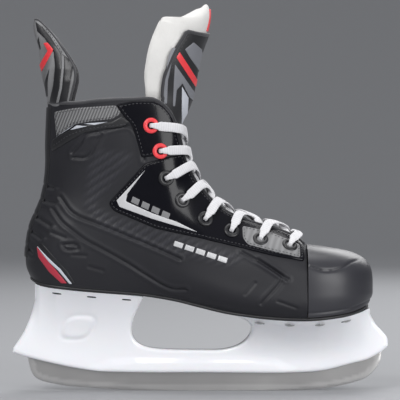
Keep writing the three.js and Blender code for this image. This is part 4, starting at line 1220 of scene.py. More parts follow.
def run_tree(piece, tree, **values):
    """Runs a tree on a piece and keeps the result as its plain mesh."""
    modifier = piece.modifiers.new(tree.name, "NODES")
    modifier.node_group = tree
    for item in tree.interface.items_tree:
        key = item.name.replace(" ", "_")
        if item.in_out == "INPUT" and key in values:
            modifier[item.identifier] = values[key]
    bpy.context.view_layer.update()
    depsgraph = bpy.context.evaluated_depsgraph_get()
    mesh = bpy.data.meshes.new_from_object(piece.evaluated_get(depsgraph),
                                           preserve_all_data_layers=True, depsgraph=depsgraph)
    piece.modifiers.clear()
    piece.data = mesh
    mesh.name = piece.name
    return piece


def fasten(name, spots, facings, shape, material):
    """One mesh of fasteners of one shape at spots in millimetres."""
    mesh = bpy.data.meshes.new(name)
    mesh.from_pydata((np.array(spots) * MM).tolist(), [], [])
    facing = mesh.attributes.new("facing", "FLOAT_VECTOR", "POINT")
    facing.data.foreach_set("vector", np.array(facings, np.float32).ravel())
    piece = new_object(name, mesh)
    pattern = Build().add(*shape).finish(name + "_pattern")
    run_tree(piece, group_of("Set fasteners", fastener_tree), Fastener=pattern, Finish=material)
    bpy.data.objects.remove(pattern)
    return piece


def sew(name, lines):
    """Stitches along lines of points in millimetres."""
    points, edges = [], []
    for line in lines:
        start = len(points)
        points += (np.array(line) * MM).tolist()
        edges += [(start + i, start + i + 1) for i in range(len(line) - 1)]
    mesh = bpy.data.meshes.new(name)
    mesh.from_pydata(points, edges, [])
    piece = new_object(name, mesh)
    s = sizes()
    return run_tree(piece, group_of("Sew stitches", stitch_tree), Finish=finish(thread),
                    Pitch=s.stitch_pitch, Length=s.stitch_length, Thread=s.thread)


def on_surface(surface, line, side, lift, a_range=(0.0, 1.0)):
    """A side-view line laid on a surface."""
    a, b = surface.locate(np.array(line, float), side, a_range)
    return surface.offset(a, b, np.full(len(a), lift))


def smooth_line(points, per_span=10):
    return Curve(points, per_span).points


def settle(piece, body, material_slot, *nodes):
    """Hands a finished piece to the frame."""
    if nodes:
        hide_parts(*nodes)
    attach(piece, body)
    return piece


def swell(piece, held, cap, pressure, frames=12):
    """Swells a padded piece as cloth, held along its seams, no point moving past the cap."""
    scene, mesh = bpy.context.scene, piece.data
    group = piece.vertex_groups.new(name="held")
    level = np.round(np.clip(held, 0, 1) * 4) / 4
    for weight in (0.25, 0.5, 0.75, 1.0):
        group.add(np.flatnonzero(level == weight).tolist(), weight, "REPLACE")
    cloth = piece.modifiers.new("Swell", "CLOTH")
    cloth.settings.quality, cloth.settings.mass = 4, 0.03
    cloth.settings.use_pressure, cloth.settings.uniform_pressure_force = True, pressure
    cloth.settings.vertex_group_mass = group.name
    cloth.settings.effector_weights.gravity = 0
    cloth.point_cache.frame_start, cloth.point_cache.frame_end = 1, frames
    for frame in range(1, frames + 1):
        scene.frame_set(frame)
    evaluated = piece.evaluated_get(bpy.context.evaluated_depsgraph_get())
    rest, moved = (np.zeros(len(mesh.vertices) * 3) for _ in range(2))
    mesh.vertices.foreach_get("co", rest)
    evaluated.to_mesh().vertices.foreach_get("co", moved)
    evaluated.to_mesh_clear()
    step = (moved - rest).reshape(-1, 3)
    length = np.maximum(np.linalg.norm(step, axis=1, keepdims=True), 1e-9)
    step *= np.minimum(length, cap) / length
    piece.modifiers.remove(cloth)
    piece.vertex_groups.remove(group)
    mesh.vertices.foreach_set("co", rest + step.ravel())
    mesh.update()
    scene.frame_set(1)


# How far a padded piece may swell, in metres, and the pressure that swells it
LINER_SWELL, FELT_SWELL, PAD_SWELL = (0.0009, 250.0), (0.0009, 60.0), (0.0011, 250.0)


# ---- Boot shell ----
CARBON_FIELD = [
    [-84, 199], [-52, 196], [-50, 186], [-78, 151], [-66, 145], [-20, 134], [30, 117], [44, 108],
    [24, 98], [-40, 112], [-84, 130], [-96, 150], [-94, 185]]


SHELL_GRID, INNER_STEP, HEEL_SEAM = (361, 181), 3, 0.0012


def shell_relief(flat):
    """How far the moulded side stands proud, with its grooves and heel creases."""
    proud = np.zeros(len(flat))
    for line in SIDE_GROOVES:
        d = distance_to(flat, smooth_line(line, 5) if len(line) > 2 else line)
        short = np.sum(np.linalg.norm(np.diff(line, axis=0), axis=1)) < 20
        lip, depth = (0.1, 0.6) if short else (0.4, 0.95)
        proud += lip * np.exp(-((d - 2.6) / 1.5) ** 2) - depth * np.exp(-(d / 1.15) ** 2)
    for line in HEEL_CREASES:
        d = distance_to(flat, line)
        above = flat[:, 1] > np.interp(flat[:, 0], *np.array(line).T)
        proud -= 1.0 * np.exp(-(d / 1.25) ** 2)
        proud += np.where(above, 0.1, 0.6) * np.exp(-((d - 3) / 2) ** 2)
    return proud


def carbon_mark(flat):
    """Where the woven-look field shows, from 0 to 1."""
    loop = np.array(CARBON_FIELD, float)
    depth = distance_to(flat, np.vstack([loop, loop[:1]]))
    return np.where(inside(flat, loop), smooth(depth / 9), 0)


class SKATE_OT_quarters(Operator):
    """Mould the two side shells."""
    bl_idname = "skate.quarters"
    bl_label = "Side shells"

    def execute(self, context):
        for label, side in SIDES:
            a, v = sheet_grid((side, 0), (side * HEEL_SEAM, 1), *SHELL_GRID)
            flat = boot_point(a.ravel(), v.ravel())[:, [0, 2]]
            mark = carbon_mark(flat)
            outer = sheet(boot, a, v, shell_relief(flat).reshape(a.shape))
            inner = sheet(boot, a, v, -QUARTER_WALL)[::INNER_STEP, ::INNER_STEP]
            points, faces = wall(outer, inner)
            rest = len(points) - len(flat)
            build = Build().add(points, faces, np.vstack([flat, points[len(flat):, [0, 2]]]),
                                np.concatenate([mark, np.zeros(rest)]))
            piece = build.finish("quarter_shell_" + label, finish(boot_shell))
            settle(piece, "boot", "shell", "quarter_" + label)
        return {"FINISHED"}


def facing_edge(start, stop, count, inset):
    """Points just inside the facing's edge, in side view."""
    u = np.linspace(start, stop, count)
    run = facing_curve.tangent(u)
    return (facing_curve.at(u) + np.stack([run[:, 1], -run[:, 0]], 1) * inset).tolist()


def eyestay_outline():
    front = facing_edge(0.155, 0.985, 22, 1.4)
    return front + [[83.4, 106], [58, 110.6], [24.8, 118.6], [0, 124.6], [-35.3, 132.3],
                    [-69.4, 146.6], [-73.2, 152.6], [-43.6, 184.4]]


def overlay(name, material, slot, outline, side, height, edge, corner, *nodes):
    """One shaped overlay on one side of the boot."""
    build = patch(Build(), boot, outline, side, 0.0, height, edge=edge, corner=corner)
    settle(build.finish(name, finish(material)), "boot", slot, *nodes)


class SKATE_OT_overlays(Operator):
    """Lay the eyestays, collars and mesh panels."""
    bl_idname = "skate.overlays"
    bl_label = "Eyestays, collars and mesh"

    def execute(self, context):
        for label, side in SIDES:
            overlay("eyestay_patent_" + label, patent, "patent", eyestay_outline(), side,
                    OVERLAY_TOP, 1.0, 3, "eyestay_" + label)
            overlay("collar_patent_" + label, patent, "patent", COLLAR_OUTLINE, side,
                    OVERLAY_TOP, 1.1, 3, "collar_" + label)
            overlay("mesh_panel_" + label, grey_mesh, "cuff_mesh", MESH_OUTLINE, side,
                    OVERLAY_TOP * 0.8, 1.6, 2, "mesh_insert_" + label)
            overlay("top_band_" + label, black_trim, "shell", TOP_BAND, side, 1.0, 1.2, 1.5)
        return {"FINISHED"}


def both_sides(name, look, slot, outlines, lift, height, surface=boot, body="boot", **how):
    """One trim colour on both sides of the skate."""
    build = Build()
    for _, side in SIDES:
        for outline in outlines:
            patch(build, surface, outline, side, lift, height, **how)
    piece = build.finish(name, finish(look))
    return settle(piece, body, slot) if body else piece


def slanted_bars(count, start, step, width, height):
    """A plain row of slanted bars, in side view."""
    drop = step[1] / step[0] * width
    lean = height * 0.35
    rows = [np.array(start) + np.array(step) * n for n in range(count)]
    return [[p, p + (width, drop), p + (width - lean, drop - height), p + (-lean, -height)]
            for p in rows]


class SKATE_OT_trims(Operator):
    """Lay the stripes, panels and heel wedges."""
    bl_idname = "skate.trims"
    bl_label = "Stripes, panels and heel wedges"

    def execute(self, context):
        both_sides("eyestay_stripe", silver_trim, "cuff_mesh", [V_STRIPE], OVERLAY_TOP - 0.1, 0.3,
                   edge=0.4, spacing=1.4, corner=0.8)
        both_sides("cord_panel", cord_panel, "cuff_mesh", [CORD_PANEL], OVERLAY_TOP - 0.15, 0.55,
                   edge=0.8, corner=2)
        both_sides("cuff_slivers", pale_trim, "cuff_mesh", SLIVERS, 0.95, 0.35, edge=0.35,
                   spacing=1.2, corner=0.5)
        both_sides("heel_reveal", black_trim, "shell", [HEEL_REVEAL], 0.0, 0.35, edge=0.5,
                   spacing=1.4, corner=0.6, a_range=(0.03, 1))
        both_sides("heel_wedge", deep_red, "eyelet_red", [HEEL_WEDGE], 0.1, 0.55, edge=0.6, spacing=1.4,
                   corner=1, a_range=(0.03, 1))
        both_sides("heel_stripe", pale_trim, "cuff_mesh", [HEEL_STRIPE], 0.35, 0.55, edge=0.4,
                   spacing=1.2, corner=0.6, a_range=(0.03, 1))
        bars = slanted_bars(5, (-20, 122.6), (8.8, -2.9), 7.0, 4.0)
        both_sides("side_bars", silver_trim, "cuff_mesh", bars, 0.0, 0.35, edge=0.3, spacing=1.2,
                   corner=0.4)
        bars = slanted_bars(4, (-53.5, 158), (8.0, -3.7), 5.8, 4.6)
        both_sides("panel_bars", grey_satin, "cuff_mesh", bars, OVERLAY_TOP - 0.1, 0.3, edge=0.3,
                   spacing=1.2, corner=0.4)
        return {"FINISHED"}


BACKSTAY_HALF = 0.055


class SKATE_OT_backstay(Operator):
    """The strip that covers the seam up the heel."""
    bl_idname = "skate.backstay"
    bl_label = "Heel backstay"

    def execute(self, context):
        a, v = sheet_grid((-BACKSTAY_HALF, 0.12), (BACKSTAY_HALF, 0.975), 33, 90)
        edge = 1 - np.minimum(1, np.minimum(1 - abs(a) / BACKSTAY_HALF, 1) * 4)
        proud = 0.15 + 0.9 * np.sqrt(1 - edge ** 2)
        height = boot_point(a.ravel(), v.ravel())[:, 2].reshape(a.shape)
        for line in HEEL_CREASES:
            proud -= 0.5 * np.exp(-((height - line[0][1]) / 1.0) ** 2)
        build = layer(boot, a, v, proud, -0.2)
        settle(build.finish("heel_backstay", finish(black_trim)), "boot", "shell")
        return {"FINISHED"}


TOE_PROUD, TOE_WALL = 0.9, 1.9
TOE_CREASE = [[87.8, 102], [97.8, 98.7], [111, 100], [121, 104.8], [131, 107.4]]


class SKATE_OT_toe_cap(Operator):
    """Mould the toe cap."""
    bl_idname = "skate.toe_cap"
    bl_label = "Toe cap"

    def execute(self, context):
        w, e = np.meshgrid(np.sin(np.linspace(-0.5, 0.5, 170) * math.pi), np.linspace(0, 0.999, 84))
        shape, w, e = w.shape, w.ravel(), e.ravel()
        flat = toe_point(w, e)[:, [0, 2]]
        side = smooth((abs(w) - 0.2) / 0.3)
        line = smooth_line(TOE_CREASE, 8)
        d = distance_to(flat, line)
        above = flat[:, 1] > np.interp(flat[:, 0], line[:, 0], line[:, 1])
        step = np.where(above, 0.45 * np.exp(-d / 7), 0)
        proud = TOE_PROUD + side * (step - 0.75 * np.exp(-(d / 1.1) ** 2))
        height = flat[:, 1] - sole_at(flat[:, 0]) - SOLE_STACK
        proud += 0.35 * np.exp(-((height - 1.4) / 1.2) ** 2) - 0.45 * np.exp(-((height - 4) / 0.7) ** 2)
        outer = toe_point(w, e, proud).reshape(*shape, 3)
        inner = toe_point(w, e, np.full(len(w), -TOE_WALL)).reshape(*shape, 3)
        build = Build().add(*wall(outer, inner))
        settle(build.finish("toe_cap_dome", finish(toe_cap)), "boot", "toe_cap", "toe_cap")
        return {"FINISHED"}


def liner_front(v):
    """Where the liner's front edge stands at each height."""
    a, b = boot.locate(smooth_line(LINER_LINE, 6), 1, (0.05, 0.99))
    order = np.argsort(b)
    return np.interp(v, b[order], a[order])


LINER_DEPTH, LINER_PAD, THINNEST = 3.6, 3.2, 0.15


class SKATE_OT_liner(Operator):
    """Pad the inside of the boot."""
    bl_idname = "skate.liner"
    bl_label = "Liner"

    def execute(self, context):
        rows = np.concatenate([np.linspace(0.1, 1, 90), 1 + np.linspace(0.1, 1, 5) ** 0.8 * 0.006])
        turns = np.linspace(-1, 1, 240)
        reach = np.minimum(liner_front(np.minimum(rows, 1)), 0.96)
        a = reach[:, None] * turns[None]
        v = np.repeat(rows[:, None], len(turns), 1)
        shape, a, v = a.shape, a.ravel(), v.ravel()
        base, normal = boot_point(a, np.minimum(v, 1)), boot.normal(a, np.minimum(v, 1))
        base[:, 2] += np.maximum(v - 1, 0) * 233
        edge = np.abs(np.tile(turns, len(rows)))
        closing = np.sqrt(np.clip(1 - ((edge - 0.93) / 0.07).clip(0, 1) ** 2, 0, 1))
        closing *= np.sqrt(np.clip(1 - ((v - 0.985) / 0.021).clip(0, 1) ** 2, 0, 1))
        closing = np.maximum(closing, THINNEST)
        ankle = np.exp(-((abs(a) - 0.3) / 0.12) ** 2 - ((v - 0.62) / 0.2) ** 2)
        seam = abs(np.sin(v * 9.0 * math.pi / 2 + 2.0 * abs(a)))
        quilt = seam ** 0.5 * smooth((v - 0.5) / 0.1)
        pad = LINER_PAD + 2.2 * ankle + 0.8 * quilt
        middle = -LINER_DEPTH - pad / 2
        outer = (base + normal * (middle + pad / 2 * closing)[:, None]).reshape(*shape, 3)
        inner = (base + normal * (middle - pad / 2 * closing)[:, None]).reshape(*shape, 3)
        build = Build().add(*wall(outer, inner), flat=np.tile(
            np.stack([a * 220, v * 150], 1), (2, 1)))
        piece = build.finish("liner_padding", finish(liner))
        free = smooth(seam / 0.3) * smooth((v - 0.5) / 0.08) * (edge < 0.93) * (v < 0.985)
        swell(piece, np.concatenate([np.ones(len(v)), 1 - free]), *LINER_SWELL)
        settle(piece, "boot", "liner", "liner")
        return {"FINISHED"}


class SKATE_OT_binding(Operator):
    """The rolled edge round the cuff, running on as a fine piping down both facings."""
    bl_idname = "skate.binding"
    bl_label = "Cuff binding"

    def execute(self, context):
        a = np.linspace(-0.995, 0.995, 420)
        top = np.ones(len(a))
        normal = boot.normal(a, top)
        path = boot_point(a, top)
        rise = unit(path - boot_point(a, top - 0.02))
        rise -= normal * np.sum(rise * normal, 1, keepdims=True)
        cuff = smooth((0.42 - abs(a)) / 0.12)
        radius = sizes().binding / MM
        middle = mix(-1.2, -2.9, cuff)
        width = mix(2.0, radius + 1.3, cuff)
        height = mix(1.1, radius * 0.75, cuff)
        path = path + normal * middle[:, None]
        build = tube(Build(), path, normal, rise, width, height, section=16, power=0.85)
        settle(build.finish("cuff_binding", finish(binding)), "boot", "liner")
        return {"FINISHED"}


def plan_outline(d, count=150):
    """The boot's outline from above, a distance outside its walls."""
    a = np.linspace(-1, 1, count)
    back = boot.offset(a, np.zeros(count), np.full(count, float(d)))[:, :2]
    w = np.sin(np.linspace(0.5, -0.5, 60) * math.pi)
    front = toe_point(w, np.full(60, 0.05), d)[:, :2]
    return np.vstack([back, front])


def thin_out(loop, spacing):
    kept = [loop[0]]
    for p in loop[1:]:
        if np.linalg.norm(p - kept[-1]) > spacing:
            kept.append(p)
    if np.linalg.norm(kept[0] - kept[-1]) < spacing * 0.6:
        kept.pop()
    return np.array(kept)


def soleplate(name, material, slot, node_name, d, low, high, edge, crown=0.0):
    """A plate that follows the sole, between two heights above its line."""
    flat, faces, closed = triangulate(thin_out(plan_outline(d), 1.6), 3.0,
                                      [edge * 0.15, edge * 0.5, edge])
    e = np.clip(distance_to(flat, closed) / edge, 0, 1)
    soft = (high - low) / 2 * (1 - np.sqrt(1 - (1 - e) ** 2))
    wave = crown * smooth(distance_to(flat, closed) / 22)
    ground = sole_at(flat[:, 0])
    top = np.column_stack([flat, ground + high - soft - wave])
    bottom = np.column_stack([flat, ground + low + soft])
    build = Build().add(*closed_pair(top, bottom, faces), flat=np.vstack([flat, flat]))
    return settle(build.finish(name, finish(material)), "boot", slot, node_name)


class SKATE_OT_soles(Operator):
    """Cut the outsole and footbed."""
    bl_idname = "skate.soles"
    bl_label = "Outsole and footbed"

    def execute(self, context):
        soleplate("outsole_plate", outsole, "outsole", "outsole", 0.1, 0.05, 2.65, 1.2)
        soleplate("footbed_foam", footbed_foam, "liner", "footbed", -7.2, 6.8, 11.2, 2.0, crown=1.2)
        for name, material in (("lasting_board", board), ("hook_bolt_rear", zinc),
                               ("hook_bolt_front", zinc), ("hook_nut_rear", zinc),
                               ("hook_nut_front", zinc)):
            part = frame["nodes"][name]
            part.data.materials.clear()
            part.data.materials.append(finish(material))
        return {"FINISHED"}


# ---- Holder and runner ----
SIDE_BAND = [[-94, 18], [-72, 26.5], [-52, 28.2], [44, 28.2], [62, 26.2], [80, 18], [70, 8],
             [-84, 8]]
REAR_PAD = [-99.0, 51.5, 12.0, 9.5]
FOOT_HALF, FLARE_START, FLARE_POWER = 7.0, 8.0, 2.2
RIVET_X = [-115, -87, -59, 48, 72, 96, 117]
RIVET_INSET, FLANGE_WALL = 7.0, 3.0
HOLDER_EDGE, RUNNER_HALF = 2.6, 1.5


def holder_half(flat):
    """Half the holder's width at points in side view."""
    x, z = flat[:, 0], flat[:, 1]
    low = along(HOLDER_BOTTOM, x) + FLARE_START
    rise = np.clip((z - low) / (sole_at(x) - GAP - low), 0, 1) ** FLARE_POWER
    half = mix(FOOT_HALF, np.maximum(FOOT_HALF, along(FLANGE_PLAN, x)), rise)
    band = np.array(SIDE_BAND)
    depth = distance_to(flat, np.vstack([band, band[:1]])) * np.where(inside(flat, band), 1, 0)
    half = half + 1.25 * np.clip(depth / 6.5, 0, 1)
    cx, cz, rx, rz = REAR_PAD
    reach = (abs((x - cx - 0.4 * (z - cz)) / rx) ** 3 + abs((z - cz) / rz) ** 3) ** (1 / 3)
    return half + 0.9 * smooth((1 - reach) / 0.3) - 0.5 * np.exp(-((reach - 1.08) / 0.1) ** 2)


def holder_shift(flat):
    """How far the holder's middle swings towards the big toe at points in side view."""
    x, z = flat[:, 0], flat[:, 1]
    low = along(HOLDER_BOTTOM, x) + FLARE_START
    return swing(x) * np.clip((z - low) / (sole_at(x) - GAP - low), 0, 1) ** FLARE_POWER


def sole_run(start, stop, count, drop):
    x = np.linspace(start, stop, count)
    return np.stack([x, sole_at(x) - drop], 1).tolist()


class SKATE_OT_holder(Operator):
    """Mould the blade holder and grind the runner."""
    bl_idname = "skate.holder"
    bl_label = "Blade holder and runner"

    def execute(self, context):
        bottom = Curve(HOLDER_BOTTOM, 10).points.tolist()
        front = smooth_line(HOLDER_FRONT[:-1], 6).tolist()
        window = smooth_line(WINDOW, 8)[::-1]
        rear = smooth_line(HOLDER_REAR[1:], 8).tolist()
        outline = (bottom + front + sole_run(137, 31, 50, GAP) + window.tolist()
                   + sole_run(-46, -133, 40, GAP) + rear)
        outline = thin_out(np.array(outline), 1.0)
        free = np.array(rear + bottom + front)
        build = Build()
        closed = closed_outline(outline, 1.5, 0.8)
        flat, faces, _ = triangulate(closed, 1.5, (0.35, 1.0, 2.2))
        reach = np.minimum(distance_to(flat, free), distance_to(flat, window))
        e = np.clip(reach / HOLDER_EDGE, 0, 1)
        rounded = HOLDER_EDGE * (1 - np.sqrt(1 - (1 - e) ** 2))
        half = np.maximum(holder_half(flat) - rounded, 1.6)
        middle = holder_shift(flat)
        near = np.stack([flat[:, 0], middle - half, flat[:, 1]], 1)
        far = np.stack([flat[:, 0], middle + half, flat[:, 1]], 1)
        build.add(*closed_pair(near, far, faces), flat=np.vstack([flat, flat]))
        piece = build.finish("holder_casting", finish(holder_nylon), sharp=60)
        settle(piece, "boot", "holder", "blade_holder")
        ground = Curve(RUNNER_BOTTOM, 12).points
        outline = np.vstack([ground, RUNNER_SEAT])
        outline[:, 1] = np.maximum(outline[:, 1], 0)
        loop = closed_outline(outline, 1.3, 0.3)
        flat, faces, _ = triangulate(loop, 2.2, (0.15, 0.45))
        depth = distance_to(flat, ground)
        half = RUNNER_HALF - 0.22 * (1 - np.clip(depth / 0.45, 0, 1))
        near = np.stack([flat[:, 0], -half, flat[:, 1]], 1)
        far = np.stack([flat[:, 0], half, flat[:, 1]], 1)
        build = Build().add(*closed_pair(near, far, faces), flat=np.vstack([flat, flat]),
                            marks=np.tile(smooth((depth - 4.5) / 1.0), 2))
        piece = build.finish("runner_blade", finish(runner_steel))
        settle(piece, "boot", "runner_steel", "steel_runner")
        return {"FINISHED"}


class SKATE_OT_rivet_edges(Operator):
    """Thin black slits on the holder's side below each rivet: painted shade standing in for the dark
    gap round each rivet's head.
    """
    bl_idname = "skate.rivet_edges"
    bl_label = "Painted rivet slit shade"

    def execute(self, context):
        build = Build()
        turn = np.linspace(0, 2 * math.pi, 28, endpoint=False)
        for x in RIVET_X:
            slope = (sole_at(x + 2) - sole_at(x - 2)) / 4
            dx, dz = 3.7 * np.cos(turn), 0.62 * np.sign(np.sin(turn)) * abs(np.sin(turn)) ** 0.5
            ring = np.stack([x + dx, sole_at(x) - 4.2 + dz + slope * dx], 1)
            flat, faces, _ = triangulate(ring, 1.2)
            half, middle = holder_half(flat), holder_shift(flat)
            for _, side in SIDES:
                # Each slit is a flat black sheet laid just proud of the holder: painted shade, not a
                # part of the rivet.
                sheets = [np.stack([flat[:, 0], middle + side * (half + lift), flat[:, 1]], 1)
                          for lift in (0.12, -0.6)]
                build.add(*closed_pair(*sheets, faces))
        settle(build.finish("rivet_edges", finish(black_trim)), "boot", "zinc")
        return {"FINISHED"}


class SKATE_OT_rivets(Operator):
    """Set the rivets."""
    bl_idname = "skate.rivets"
    bl_label = "Rivets"

    def execute(self, context):
        radius = sizes().rivet / MM
        grip = 9.0
        profile = [[0, -1.6], [radius * 0.35, -1.52], [radius * 0.7, -1.15], [radius * 0.93, -0.5],
                   [radius, -0.1], [radius * 0.96, 0.05], [1.9, 0.05], [1.9, grip], [3.0, grip],
                   [2.8, grip + 0.5], [2.3, grip + 1.1], [0, grip + 1.1]]
        spots, facings = [], []
        for x in RIVET_X:
            slope = math.atan2(sole_at(x + 2) - sole_at(x - 2), 4)
            axis = np.array([-math.sin(slope), 0, math.cos(slope)])
            for _, side in SIDES:
                y = swing(x) + side * (along(FLANGE_PLAN, x) - RIVET_INSET)
                spots.append(np.array([x, y, sole_at(x)]) - axis * (GAP * 2 + FLANGE_WALL))
                facings.append(axis)
        piece = fasten("rivets", spots, facings, lathe(profile, 20), finish(zinc))
        nodes = [f"rivet_{label}_{n}" for label, _ in SIDES for n in range(1, len(RIVET_X) + 1)]
        settle(piece, "boot", "zinc", *nodes)
        return {"FINISHED"}


def eyelet_frames():
    """Each eyelet's place, facing and throat edge, for both sides."""
    out = []
    for _, side in SIDES:
        a, v = boot.locate(np.array(EYELET_SPOTS), side, (0.02, 0.99))
        edge, _ = boot.locate(np.array(EDGE_SPOTS), side, (0.02, 0.99))
        out.append((boot_point(a, v), boot.normal(a, v), edge))
    return out


class SKATE_OT_eyelets(Operator):
    """Set the eyelets."""
    bl_idname = "skate.eyelets"
    bl_label = "Eyelets"

    def execute(self, context):
        rim, seat = sizes().eyelet / MM, QUARTER_WALL + OVERLAY_TOP + GAP
        angle = np.linspace(0, math.pi, 9)
        middle, tube_radius = (rim + 2.9) / 2, (rim - 2.9) / 2
        crown = [[middle + tube_radius * math.cos(t), seat + 1.05 * math.sin(t)] for t in angle]
        profile = [[2.8, 0], [3.6, 0], [3.6, seat - 0.2], [rim, seat - 0.2], *crown]
        places = eyelet_frames()
        for name, material, slot, chosen in (("eyelets_red", red, "eyelet_red", range(0, 2)),
                                             ("eyelets_black", black_trim, "eyelet_black",
                                              range(2, 8))):
            spots, facings, nodes = [], [], []
            for (label, _), (at, normal, _) in zip(SIDES, places):
                for n in chosen:
                    spots.append(at[n] - normal[n] * QUARTER_WALL)
                    facings.append(normal[n])
                    nodes.append(f"eyelet_{label}_{n + 1}")
            piece = fasten(name, spots, facings, lathe(profile, 40), finish(material))
            settle(piece, "boot", slot, *nodes)
        return {"FINISHED"}


def piping(name, surface, a, b, lift, width, height):
    """A rounded edge that runs along a line on a surface."""
    path, normal = surface.offset(a, b, np.full(len(a), lift)), surface.normal(a, b)
    across = np.cross(unit(np.gradient(path, axis=0)), normal)
    return tube(Build(), path, across, normal, width, height).finish(name, finish(binding))


FELT_HALF, FELT_DEPTH, FELT_GRID = 2.5, 5.3, (90, 220)
COVER_GRID = (80, 200)


def tongue_grid(reach, low, high, columns, rows):
    q, s = sheet_grid((-1, low), (1, high), columns, rows)
    return q * reach(s), s


def felt_reach(s):
    """How far round the tongue the felt goes at each place along it."""
    return mix(0.78, 0.98, smooth((s - CUFF_AT + 0.2) / 0.12))


def cover_reach(s):
    """How far round the tongue the cover goes at each place along it."""
    shaft = np.clip((s - CUFF_AT) / (1 - CUFF_AT), 0, 1)
    wide = np.interp(s, [0, CUFF_AT - 0.03, CUFF_AT + 0.03], [0.62, 0.64, 0.73])
    return wide - 0.128 * smooth((shaft - 0.3) / 0.42)


COVER_TOP = CUFF_AT + (1 - CUFF_AT) * 0.745


def cross_tongue(piece, slot, *nodes):
    """Hides the frame's parts that a tongue piece replaces and bakes the piece's transform into its
    mesh.
    """
    if nodes:
        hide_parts(*nodes)
    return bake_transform(piece)


CUFF_TOP, TUCK_REACH = 243, 17


def eased(points, q, s, reach=26):
    """Evens out the felt's wings along the tongue where it turns up at the cuff."""
    weights = np.exp(-(np.arange(-reach, reach + 1) / (reach * 0.4)) ** 2)
    weights /= weights.sum()
    longer = np.pad(points, ((reach, reach), (0, 0), (0, 0)), mode="edge")
    even = sum(w * longer[i:i + len(points)] for i, w in enumerate(weights))
    near = smooth((s - CUFF_AT + 0.22) / 0.1) * smooth((CUFF_AT + 0.24 - s) / 0.1)
    return mix(points, even, (near * smooth((abs(q) - 0.3) / 0.35))[..., None])


def tucked(points, q):
    """Presses the felt's wings in where they enter the boot."""
    pressed = 0.2 * smooth((abs(q) - 0.45) / 0.4) * smooth((CUFF_TOP - points[..., 2]) / TUCK_REACH)
    middle = swing(points[..., 0])
    points[..., 1] = middle + (points[..., 1] - middle) * (1 - pressed)
    return points


class SKATE_OT_tongue(Operator):
    """Make the tongue's felt and cover."""
    bl_idname = "skate.tongue"
    bl_label = "Tongue"

    def execute(self, context):
        q, s = tongue_grid(felt_reach, 0.0, 1.0, *FELT_GRID)
        turn, _ = sheet_grid((-1, 0), (1, 1), *FELT_GRID)
        edge = np.sqrt(1 - np.clip((abs(turn) - 0.86) / 0.14, 0, 1) ** 2)
        edge = edge * np.sqrt(1 - np.clip((s - 0.975) / 0.025, 0, 1) ** 2)
        soft = 0.35 * np.sin(s * 61 + 3 * q) * np.sin(q * 9 + 4 * s) + 0.3 * np.sin(s * 23 + 7 * q)
        thick = FELT_HALF * (0.25 + 0.75 * edge)
        free = smooth((s - CUFF_AT) / 0.1)
        middle = -FELT_DEPTH + soft * free
        build = Build().add(*wall(*(tucked(eased(sheet(tongue, q, s, lift), q, s), q)
                                    for lift in (middle + thick, middle - thick))))
        piece = build.finish("tongue_felt", finish(felt))
        loose = smooth((s - CUFF_AT) / 0.06) * (abs(turn) < 0.93) * (s < 0.985)
        covered = (abs(q) < cover_reach(s) + 0.05) & (s < COVER_TOP + 0.02)
        swell(piece, 1 - np.concatenate([(loose * ~covered).ravel(), loose.ravel()]), *FELT_SWELL)
        cross_tongue(piece, "felt", "tongue_felt_lower", "tongue_felt_upper")
        q, s = tongue_grid(cover_reach, 0.0, COVER_TOP, *COVER_GRID)
        dome = np.maximum(0, (abs(np.linspace(-1, 1, COVER_GRID[0]))[None] - 0.2)) * 0.02
        s = np.clip(s - smooth((s - COVER_TOP + 0.04) / 0.04) * dome, 0, 1)
        build = layer(tongue, q, s, -0.1, -1.8)
        piece = build.finish("tongue_cover", finish(black_trim))
        cross_tongue(piece, "tongue_cover", "tongue_cover_lower", "tongue_cover_upper")
        cross_tongue(piping("tongue_piping", tongue, *cover_rim(q, s), -0.8, 1.5, 1.35),
                     "tongue_cover")
        q, s = sheet_grid((-0.13, COVER_TOP + 0.01), (0.13, 0.985), 9, 30)
        build = layer(tongue, q, s, -1.7, -2.9)
        cross_tongue(build.finish("tongue_tab", finish(red)), "eyelet_red")
        for colour, material in (("red", red), ("grey_blue", grey_blue_trim),
                                 ("pale", pale_trim)):
            shapes = TONGUE_ARTWORK[colour]
            piece = both_sides("tongue_art_" + colour, material, "tongue_cover", shapes, -0.15, 0.45,
                               surface=tongue, body=None, edge=0.4, spacing=1.3, corner=0.7,
                               a_range=(0.0, 0.72))
            cross_tongue(piece, "tongue_cover")
        return {"FINISHED"}


def cover_rim(q, s):
    """The edge of the cover, up one side, over the top and down the other."""
    up = [(q[j, 0], s[j, 0]) for j in range(4, len(q) - 2)]
    over = [(q[-1, i], s[-1, i]) for i in range(2, q.shape[1] - 2)]
    down = [(q[j, -1], s[j, -1]) for j in range(len(q) - 3, 3, -1)]
    rim = np.array(up + over + down)
    return rim[:, 0], rim[:, 1]


# ---- Tendon guard ----
GUARD_FOOT, GUARD_TOP, PAD_TOP = 227, 300.6, 288
GUARD_GRID = (90, 110)


def bend_guard(piece, slot, *nodes):
    if nodes:
        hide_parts(*nodes)
    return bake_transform(piece)


def guard_sheet(low, high, outer, inner):
    """A layer of the guard with soft edges, between two heights and two distances."""
    q, z = sheet_grid((-1, low), (1, high), *GUARD_GRID)
    edge = np.sqrt(1 - np.clip((abs(q) - 0.9) / 0.1, 0, 1) ** 2)
    edge = edge * np.sqrt(1 - np.clip((z - high + 4) / 4, 0, 1) ** 2)
    centre, half = (outer + inner) / 2, (outer - inner) / 2
    thick = half * (0.2 + 0.8 * edge)
    depth = (guard_front(z.ravel()) - guard_rear(z.ravel())).reshape(z.shape)
    room = np.minimum(1, depth / 14.0)
    return layer(guard, q, z, (centre + thick) * room, (centre - thick) * room)


